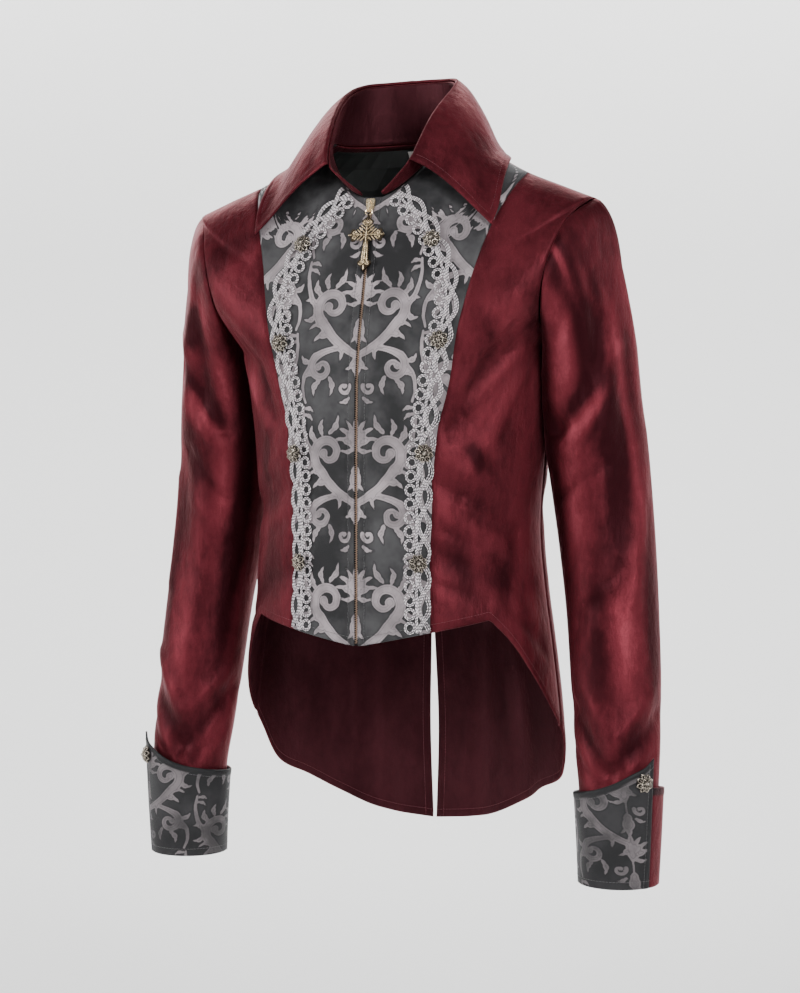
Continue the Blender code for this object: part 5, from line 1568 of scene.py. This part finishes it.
@dataclass
class Braid:
    """Corded braid on a front: a row of rings, straight cords and an interlaced border."""

    side: Side
    body: Body
    line: tuple = metres((
        (-68.6, 20.7), (-76, 27.5), (-100, 49.5), (-122.5, 64), (-144.7, 75), (-160, 79.8), (-184.3, 81.2),
        (-210, 76.2), (-238.6, 70.6), (-265, 65.3), (-292.6, 61), (-320, 57.5), (-360, 55), (-420, 54),
        (-460, 54.5), (-502, 55),
    ))
    pitch: float = 0.0132
    ring_radii: tuple = (0.0037, 0.0052)
    ring_cord: float = 0.00058
    cord: float = 0.00056
    straight: tuple = (0.0062, 0.0076)
    border_middle: float = 0.0133
    border_swing: float = 0.0049
    border_cords: tuple = (-0.0016, 0.0, 0.0016)
    border_repeat: float = 4.0
    lift: float = 0.0016
    tuck: tuple = (0.0035, 0.0028)
    hem_gap: float = 0.0025
    steps: int = 300

    def build(self) -> None:
        """Build the braid as one piece of cords."""
        self.surface = self.body.surface(self.side)
        self.survey()
        tubes = []
        repeats = int(self.total / self.pitch)
        pitch = self.total / repeats
        for number in range(repeats):
            for radius in self.ring_radii:
                tubes.append(self.ring((number + 0.5) * pitch, radius))
        far = np.linspace(0, self.total, self.steps)
        for across in self.straight:
            wave = across - 0.0005 * np.cos(far / pitch * math.tau)
            tubes.append(self.strand(far, wave, np.full(far.shape, self.lift)))
        turn = far / (pitch * self.border_repeat) * math.tau
        for way in (1, -1):
            for offset in self.border_cords:
                across = self.border_middle + way * self.border_swing * np.cos(turn) + offset
                lift = self.lift + 0.0003 + way * 0.0005 * np.sin(turn)
                tubes.append(self.strand(far, across, lift))
        name = "braid_" + self.side.label
        piece = add_tubes(name + "_cords", tubes, self.body.finishes.braid)
        self.body.tailor.hand_over(piece, "braid", (name,))

    def survey(self) -> None:
        """Measure the braid's middle line on the cloth."""
        heights = np.linspace(self.line[0][0], self.line[-1][0], self.steps)
        across = self.side.value * read(self.line, 1, heights)
        points = np.array([self.surface.from_front(x, z)[0] for x, z in zip(across, heights)])
        self.lengths = distances(points)
        self.total = self.lengths[-1]
        self.across = across
        self.heights = heights

    def place(self, far: Array, across: Array, lift: Array) -> tuple[Array, Array]:
        """Give places on the cloth from lengths along the braid and across it.

        Args:
            far: Lengths along its middle line.
            across: Distances out from that line.
            lift: Heights above the cloth.

        Returns:
            Points and normals.
        """
        points = np.empty((len(far), 3))
        normals = np.empty((len(far), 3))
        step = 0.004
        cut = self.body.cut
        hem_place = cut.place_of_height(cut.front, cut.front_hem[1][1])
        for index, (length, out, rise) in enumerate(zip(far, across, lift)):
            ends = np.clip((length - step, length, length + step), 0, self.total)
            x = np.interp(ends, self.lengths, self.across)
            z = np.interp(ends, self.lengths, self.heights)
            middle, normal = self.surface.from_front(x[1], z[1])
            outward = np.cross((x[2] - x[0], 0, z[2] - z[0]), normal)
            outward = outward / np.linalg.norm(outward)
            outward *= np.sign(outward[0]) * self.side.value
            spot = middle + outward * out
            angle = 90 * cut.share_of_width(cut.front, hem_place, abs(spot[0]))
            hem = float(read(cut.front_hem, 1, angle)) + self.hem_gap
            hit, normal = self.surface.from_front(spot[0], max(spot[2], hem))
            points[index] = hit + normal * rise
            normals[index] = normal
        return points, normals

    def ring(self, length: float, radius: float) -> tuple:
        """Sweep one ring of cord."""
        turn = np.arange(18) * math.tau / 18
        lift = np.full(18, self.lift) + 0.0003 * np.cos(turn)
        points, normals = self.place(length + radius * 1.1 * np.cos(turn), radius * np.sin(turn), lift)
        return tube(points, normals, self.ring_cord, 5, True)

    def strand(self, far: Array, across: Array, lift: Array) -> tuple:
        """Sweep one cord along the braid, its top end tucked in at the neck seam."""
        length, depth = self.tuck
        points, normals = self.place(far, across, lift - depth * np.clip(1 - far / length, 0, 1) ** 2)
        return tube(points, normals, self.cord, 5, False)


@dataclass
class Buttons:
    """Domed filigree buttons with eight petals, on the braids and the cuffs."""

    body: Body
    cuff: CuffCut
    places: tuple = metres((
        (-115.3, 69, 5), (-214.2, 84, 3.7), (-324.5, 67.5, 3.7), (-432.8, 61, 3.7),
    ))
    radius: float = 0.0096
    petals: int = 8
    wire: float = 0.00048
    cuff_lift: float = 0.0006

    def build(self) -> None:
        """Model one button and place its copies."""
        pattern = self.pattern()
        for side in Side:
            surface = self.body.surface(side)
            for number, (height, across, lift) in enumerate(self.places, 1):
                steps = (0, -self.radius, self.radius)
                spots = [surface.from_front(side.value * (across + step), height) for step in steps]
                normal = unit(sum(spot[1] for spot in spots))
                self.place(pattern, f"button_{side.label}_{number}", spots[0][0] + normal * lift, normal,
                           number * 0.7)
            angle, height = self.cuff.button
            seat = self.cuff.point(angle, height, side.value, self.cuff_lift)
            normal = unit(seat - np.array((side.value * self.cuff.centre[0], self.cuff.centre[1], height)))
            self.place(pattern, "cuff_button_" + side.label, seat, normal, 0.3)

    def pattern(self) -> Piece:
        """Model the button at the origin, looking up: dome, petals, beads and knob."""
        deselect_all()
        bpy.ops.mesh.primitive_uv_sphere_add(segments=32, ring_count=16, radius=self.radius * 0.86)
        dome = bpy.context.object
        bpy.ops.object.mode_set(mode="EDIT")
        bpy.ops.mesh.select_all(action="SELECT")
        bpy.ops.mesh.bisect(plane_co=(0, 0, 0), plane_no=(0, 0, 1), clear_inner=True, use_fill=True)
        bpy.ops.mesh.select_all(action="SELECT")
        bpy.ops.transform.resize(value=(1, 1, 0.66), center_override=(0, 0, 0))
        bpy.ops.object.mode_set(mode="OBJECT")
        # The dome is near black: painted shade between the petals and beads.
        dome.data.materials.append(self.body.finishes.silver_dark)
        parts = [dome]
        for number in range(self.petals):
            turn = number * math.tau / self.petals
            parts.append(self.loop((0.0064, 0.0, 0.0034), (1.15, 0.86, 1.0), 0.0025, turn, 0.62))
            parts.append(self.loop((0.004, 0.0, 0.0052), (1.45, 0.2, 1.0), 0.0022, turn, 0.26))
            parts.append(self.bead((0.0086, 0.0, 0.0014), 0.0011, turn, 1))
        parts.append(self.bead((0.0, 0.0, 0.006), 0.00185, 0.0, 2))
        return take_pattern("button_pattern", parts)

    def loop(self, place: tuple, shape: tuple, size: float, turn: float, lean: float) -> Piece:
        """Model a loop of wire that leans down the dome."""
        bpy.ops.mesh.primitive_torus_add(major_radius=size, minor_radius=self.wire, major_segments=16,
                                         minor_segments=5)
        wire = bpy.context.object
        wire.scale = shape
        return self.settle(wire, place, turn, lean)

    def bead(self, place: tuple, size: float, turn: float, level: int) -> Piece:
        """Model a small bead."""
        bpy.ops.mesh.primitive_ico_sphere_add(subdivisions=level + 1, radius=size)
        return self.settle(bpy.context.object, place, turn, 0.0)

    def settle(self, part: Piece, place: tuple, turn: float, lean: float) -> Piece:
        """Lean, place and turn a part round the button's middle."""
        part.rotation_euler = (0, lean, turn)
        part.location = (
            place[0] * math.cos(turn) - place[1] * math.sin(turn),
            place[0] * math.sin(turn) + place[1] * math.cos(turn),
            place[2],
        )
        part.data.materials.append(self.body.finishes.silver)
        return part

    def place(self, pattern: Piece, name: str, base: Array, normal: Array, turn: float) -> None:
        """Place a copy of the pattern, with its own mesh."""
        aside = unit(np.cross(normal, (0.0, 0.0, 1.0)))
        above = np.cross(normal, aside)
        first = aside * math.cos(turn) + above * math.sin(turn)
        axes = np.stack([first, np.cross(normal, first), normal])
        mesh = pattern.data.copy()
        mesh.name = name + "_filigree"
        mesh.transform(Matrix.Translation(base) @ Matrix(axes.T).to_4x4())
        piece = bpy.data.objects.new(name + "_filigree", mesh)
        bpy.context.scene.collection.objects.link(piece)
        self.body.tailor.hand_over(piece, "antique_silver", (name,))


@dataclass
class Zip:
    """The zip's teeth, and the finishes of the nodes that stay."""

    body: Body
    tooth: tuple = (0.0022, 0.00115, 0.0014)
    pitch: float = 0.0022
    reach: float = 0.0006
    set_out: float = -0.0016

    def build(self) -> None:
        """Build the teeth, and finish the nodes that stay."""
        self.build_teeth()
        kept = {
            "zip_tape": self.body.finishes.tape, "zip_slider": self.body.finishes.gold,
            # The cross itself is near black: painted shade between its relief wires.
            "pull_ring": self.body.finishes.gold, "cross_pendant": self.body.finishes.brass_dark,
            "neck_lining": self.body.finishes.black_lining, "neck_label": self.body.finishes.label,
        }
        for node, material in kept.items():
            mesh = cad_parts[node].data
            if not mesh.materials:
                mesh.materials.append(material)
            for index in range(len(mesh.materials)):
                mesh.materials[index] = material

    def tooth_pattern(self) -> Piece:
        """Model one tooth: a bevelled bar with a narrower head."""
        deselect_all()
        bpy.ops.mesh.primitive_cube_add(size=1.0)
        bar = bpy.context.object
        bar.scale = self.tooth
        bpy.ops.object.transform_apply(location=False, rotation=False, scale=True)
        bpy.ops.object.mode_set(mode="EDIT")
        bpy.ops.mesh.select_all(action="DESELECT")
        select_where(bar, lambda co: co.x > self.tooth[0] * 0.4)
        bpy.ops.transform.resize(value=(1, 0.6, 0.8), center_override=(self.tooth[0] / 2, 0, 0))
        bpy.ops.mesh.select_all(action="SELECT")
        bpy.ops.mesh.bevel(offset=0.00022, segments=1)
        bpy.ops.object.mode_set(mode="OBJECT")
        return take_pattern("tooth_pattern", [bar])

    def build_teeth(self) -> None:
        """Set teeth alternately from both sides down the centre front."""
        cut = self.body.cut
        bottom = float(cut.place_of_height(cut.front, cut.front_hem[0][1] + 0.001))
        top = float(cut.place_of_height(cut.front, -0.0705))
        line = cut.point(cut.front, np.linspace(top, bottom, 500), 0.0, 1)
        far = distances(line)
        spots = np.arange(self.pitch / 2, far[-1] - self.pitch / 2, self.pitch / 2)
        line = resample(far, line, spots)
        line[:, 0] = 0
        along = unit(np.gradient(line, axis=0))
        sign = np.where(np.arange(len(spots)) % 2 == 0, 1.0, -1.0)[:, None]
        aside = np.array([[1.0, 0, 0]]) * sign
        outward = unit(np.cross(along, np.array([[1.0, 0, 0]])))
        outward *= -np.sign(outward[:, 1:2])
        places = line + outward * self.set_out - aside * self.reach
        axes = np.stack([aside, along * sign, outward], 1)
        piece = add_copies("zip_teeth", self.tooth_pattern(), places, axes, self.body.finishes.teeth)
        self.body.tailor.hand_over(piece, "zip_teeth", ("zip_chain",))


@dataclass
class Pendant:
    """Relief of wires on the cross, in millimetres from its middle, across and down."""

    body: Body
    top: tuple = (0.0, -0.0788545, -0.0705)
    lean: float = 13.5
    hinge_down: float = 0.0105
    hinge_out: float = 0.0044
    ring_radius: float = 0.0036
    cross_thick: float = 0.0022
    cross_middle: float = 21.2
    spines: tuple = (
        ((0, -17), (0, 30), 0.75, 0.75), ((-15, 0), (15, 0), 0.75, 0.75), ((15.4, 0), (19.4, 0), 0.9, 0.5),
        ((-15.4, 0), (-19.4, 0), 0.9, 0.5), ((0, 31), (0, 37), 1.1, 0.6),
    )
    barbs: tuple = (
        ((0.4, -12), (3.6, -14.6), 0.5, 0.7), ((0.4, -8.6), (5.4, -13), 0.5, 0.7),
        ((0.5, -5.2), (6.6, -10.6), 0.5, 0.8), ((1, -1.6), (8.2, -8.2), 0.5, 0.8),
        ((4.4, -0.6), (10.2, -6.2), 0.5, 0.8), ((8, -0.5), (12.4, -4.6), 0.5, 0.8),
        ((11.6, -0.4), (14.6, -3.2), 0.5, 0.7), ((1.2, 1.2), (6, 6.4), 0.5, 0.8),
        ((4.8, 0.6), (9.4, 5.6), 0.5, 0.8), ((8.6, 0.6), (12.6, 4.8), 0.5, 0.8),
        ((12, 0.5), (14.8, 3.2), 0.5, 0.7), ((1.5, 6.4), (2.9, 29), 0.5, 0.6),
        ((1, 30), (4.2, 31.4), 0.8, 0.6), ((4.2, 31.4), (5.6, 29.4), 0.6, 0.9),
    )
    loops: tuple = (
        (2.3, -13.6, 1.7), (12.9, -2.3, 1.6), (12.9, 2.3, 1.6), (5.6, -5.6, 1), (1.3, 11.5, 0.9),
        (1.6, 18, 0.9), (1.9, 24.5, 1.1), (2.6, 28.4, 1.4),
    )
    wire: float = 0.00048

    def build(self) -> None:
        """Lay spines, barbs and scrolls on the pendant's front."""
        lean = math.radians(self.lean)
        self.down = np.array((0.0, -math.sin(lean), -math.cos(lean)))
        self.out = np.array((0.0, -math.cos(lean), math.sin(lean)))
        hang = self.hinge_down + 2 * self.ring_radius
        self.eye = np.array(self.top) + self.down * hang + self.out * self.hinge_out
        tubes = [self.rod(start, end, first, last, 0.7) for start, end, first, last in self.spines]
        for sign in (1, -1):
            for start, end, first, last in self.barbs:
                tubes.append(self.rod((sign * start[0], start[1]), (sign * end[0], end[1]), first, last, 0.3))
            for across, far, radius in self.loops:
                tubes.append(self.loop(sign * across, far, radius))
        piece = add_tubes("cross_relief", tubes, self.body.finishes.brass)
        self.body.tailor.hand_over(piece, "antique_brass", (), "pendant")

    def on_face(self, across: Array, far: Array, lift: float) -> Array:
        """Give points on the pendant's front."""
        place = across[:, None] * (1.0, 0.0, 0.0) + (far + self.cross_middle)[:, None] * self.down
        return self.eye + place * MM + (self.cross_thick / 2 + lift * MM) * self.out

    def rod(self, start: tuple, end: tuple, first: float, last: float, lift: float) -> tuple:
        """Sweep a rod between two points, thin at its tips."""
        share = np.linspace(0, 1, 7)
        points = self.on_face(start[0] + (end[0] - start[0]) * share,
                              start[1] + (end[1] - start[1]) * share, lift)
        swell = first + (last - first) * share
        swell[[0, -1]] *= 0.35
        return tube(points, np.tile(self.out, (7, 1)), swell * MM, 7, False)

    def loop(self, across: float, far: float, radius: float) -> tuple:
        """Sweep a loop of wire."""
        turn = np.arange(14) * math.tau / 14
        points = self.on_face(across + radius * np.cos(turn), far + radius * np.sin(turn), 0.3)
        return tube(points, np.tile(self.out, (14, 1)), self.wire, 6, True)


@dataclass(frozen=True)
class Studio:
    """Pale floor with a rising backdrop, soft lamps and the camera at the photo's angle."""

    azimuth: float = 21.0
    distance: float = 2.1
    eye_height: float = -0.331
    tilt: float = 1.035
    pixels: float = 2020.0
    frame_height: float = 993.0
    sensor: float = 36.0
    floor: float = -1.3
    wall: float = 4.4
    cove: float = 1.6
    height: float = 3.6
    colour: tuple = (0.86, 0.86, 0.855)

    def build(self) -> None:
        """Build the stage, lamps and camera."""
        self.backdrop()
        self.lamps()
        self.camera()

    @staticmethod
    def aim(name: str, data: bpy.types.ID, place: Vector, target: Vector) -> Piece:
        """Stand a lamp or a camera at a place and turn it to its target."""
        stand = bpy.data.objects.new(name, data)
        stand.location = place
        stand.rotation_mode = "QUATERNION"
        stand.rotation_quaternion = (target - place).to_track_quat("-Z", "Y")
        bpy.context.scene.collection.objects.link(stand)
        return stand

    def backdrop(self) -> None:
        """Sweep the floor up into a wall, all the way round."""
        bend = np.linspace(0, math.pi / 2, 12)
        out = np.concatenate([[0.01, 1.5], self.wall - self.cove + self.cove * np.sin(bend), [self.wall]])
        rise = np.concatenate([[0, 0], self.cove - self.cove * np.cos(bend), [self.height]]) + self.floor
        turn = np.arange(96) * math.tau / 96
        points = np.stack([out[:, None] * np.cos(turn), out[:, None] * np.sin(turn),
                           rise[:, None] + 0 * turn], -1)
        faces = faces_of_grid(len(out), len(turn), True, 0, True)
        material = PlainCloth("backdrop_paper", self.colour, 0.0, 0.9, 0.1).make()
        add_mesh("backdrop", points.reshape(-1, 3), [faces], [material])

    def lamps(self) -> None:
        """Hang soft lamps round the jacket and lift the shade with an even sky."""
        for name, place, target, size, power in (
            ("key", (1.7, -1.9, 0.55), (0.05, 0.0, -0.25), 1.0, 68.0),
            ("fill", (-1.8, -1.5, 0.35), (-0.05, 0.0, -0.28), 1.1, 46.0),
            ("rim_left", (1.6, 0.9, 0.3), (0.15, 0.0, -0.3), 0.8, 5.0),
            ("rim_right", (-1.6, 0.9, 0.3), (-0.15, 0.0, -0.3), 0.8, 5.0),
            ("wash_left", (0.2, 3.0, 2.6), (-1.0, 4.2, -0.6), 1.5, 135.0),
            ("wash_right", (-2.8, 2.4, 2.6), (-2.0, 3.9, -0.6), 1.5, 135.0),
        ):
            data = bpy.data.lights.new(name, "AREA")
            data.shape = "DISK"
            data.size = size
            data.energy = power
            self.aim(name, data, Vector(place), Vector(target))
        world = bpy.data.worlds.new("studio_air")
        world.use_nodes = True
        world.node_tree.nodes["Background"].inputs["Color"].default_value = (0.93, 0.95, 1.0, 1.0)
        world.node_tree.nodes["Background"].inputs["Strength"].default_value = 0.2
        bpy.context.scene.world = world

    def camera(self) -> None:
        """Set the camera where the photo was taken from."""
        turn = math.radians(self.azimuth)
        data = bpy.data.cameras.new("camera")
        data.sensor_width = self.sensor
        data.lens = self.pixels * self.sensor / self.frame_height
        eye = Vector((math.sin(turn) * self.distance, -math.cos(turn) * self.distance, self.eye_height))
        aim = Vector((0, 0, self.eye_height - self.distance * math.tan(math.radians(self.tilt))))
        camera = self.aim("camera", data, eye, aim)
        bpy.context.scene.camera = camera


# Rows of painted shade (positive depth) and painted highlight (negative depth) on each sleeve's velvet; they
# move no cloth.
LEFT_PAINTED_SHADING = metres((
    (38, -215, 33, -430, 12, 7), (60, -150, 64, -420, 7, -6), (38, -262, -10, -315, 7, -7),
    (-2, -160, -8, -260, 14, -8), (20, -85, 20, -155, 4, -8), (28, -100, 30, -190, 6, 6),
    (42, -140, 36, -175, 7, -6), (12, -100, -22, -170, 9, -6), (2, -175, -20, -215, 7, 5),
    (45, -440, 30, -580, 16, -5), (72, -400, 76, -600, 10, 4.5), (0, -450, -6, -560, 12, 4.5),
    (-44, -180, -52, -470, 16, 10), (90, -140, 92, -300, 10, -5), (130, -180, 140, -320, 14, 6),
    (170, -200, 175, -420, 14, -6), (150, -400, 130, -560, 14, 5),
), (0, 2))
RIGHT_PAINTED_SHADING = metres((
    (40, -170, 21, -215, 14, 8), (38, -245, -8, -300, 6, -7.5), (15, -155, -11, -215, 9, -6.5),
    (-12, -215, -30, -292, 10, -7.5), (4, -100, -7, -150, 6, -6), (44, -290, 10, -360, 12, 7),
    (-20, -310, -26, -400, 12, -5), (20, -420, 6, -560, 14, -5.5), (46, -380, 50, -560, 10, 5),
    (-52, -180, -46, -560, 14, 10), (60, -130, 64, -300, 10, -5), (110, -180, 118, -330, 14, 6),
    (160, -200, 170, -420, 14, -6), (140, -420, 126, -560, 14, 5),
), (0, 2))
LEFT_FOLDS = metres((
    (40, -190, 29, -245, 10, 8.5), (29, -245, -32, -303, 9, 9.5), (62, -260, 24, -450, 18, 4.5),
    (-60, -580, 0, -640, 12, 5.5), (0, -640, 84, -585, 12, 5), (130, -250, 200, -330, 14, 6),
    (150, -420, 215, -480, 13, 5), (52, -100, 38, -180, 6, 2), (20, -120, 14, -200, 7, 2.2),
    (-2, -140, -10, -215, 7, -1.8), (66, -215, 10, -262, 6, -1.8), (48, -282, -8, -330, 6, -2),
    (20, -335, -46, -372, 7, 2.2), (70, -360, 44, -470, 8, -2), (34, -440, -30, -490, 8, 1.8),
    (-40, -545, 6, -600, 7, -2), (10, -606, 66, -560, 7, -2), (-70, -615, -6, -660, 6, 2.2),
    (4, -660, 72, -622, 6, 2), (120, -150, 132, -230, 8, 2), (150, -300, 205, -350, 7, -2),
    (160, -450, 214, -500, 7, 2), (120, -560, 180, -620, 8, 2.5), (180, -620, 240, -585, 8, 2.5),
), (0, 2))
RIGHT_FOLDS = metres((
    (56, -228, -22, -296, 9, 10), (44, -120, -11, -172, 12, 4.5), (59, -568, -12, -634, 12, 5.5),
    (-12, -634, -77, -580, 12, 5), (40, -330, 20, -500, 18, 4), (140, -240, 205, -315, 14, 6),
    (155, -400, 210, -470, 13, 5),
    (50, -100, 40, -175, 6, 1.8), (26, -110, 22, -190, 7, 2.2), (8, -130, 0, -205, 7, -1.8),
    (60, -196, 6, -236, 6, -1.8), (46, -262, -16, -322, 6, -2.2), (30, -320, -26, -372, 7, 2.2),
    (18, -372, -36, -410, 7, -1.6), (64, -350, 52, -460, 9, -2), (54, -536, -2, -594, 7, -2.2),
    (-6, -600, -66, -556, 7, -2), (66, -606, -8, -664, 6, 2.2), (-10, -662, -70, -618, 6, 2),
    (124, -150, 136, -226, 8, 2), (148, -290, 204, -344, 7, -2), (156, -440, 212, -492, 7, 2),
    (118, -556, 176, -616, 8, 2.5), (176, -616, 236, -582, 8, 2.5),
), (0, 2))


def main() -> None:
    """Build the dressed jacket and its studio, in order."""
    logging.basicConfig(level=logging.INFO, format="%(name)s: %(message)s")
    finishes = Finishes()
    tailor = Tailor()
    body = Body(TorsoCut(), finishes, tailor)
    body.build()
    torso = body.surface()
    lines = list(body.stitching)
    cuff = CuffCut()
    for side, folds, nap in ((Side.LEFT, LEFT_FOLDS, LEFT_PAINTED_SHADING), (Side.RIGHT, RIGHT_FOLDS, RIGHT_PAINTED_SHADING)):
        lines += Arm(side, SleeveCut(side, folds, nap), cuff, body).build(torso)
    lines += Collar(body).build(torso)
    for side in Side:
        Braid(side, body).build()
    Buttons(body, cuff).build()
    Zip(body).build()
    Pendant(body).build()
    for colour, slot in (("wine", "velvet"), ("grey", "jacquard")):
        chosen = [line for kind, line in lines if kind == colour]
        material = finishes.thread if colour == "wine" else finishes.grey_thread
        tailor.hand_over(Stitch().sew(colour + "_stitches", chosen, material), slot)
    Studio().build()


if __name__ == "__main__":
    main()
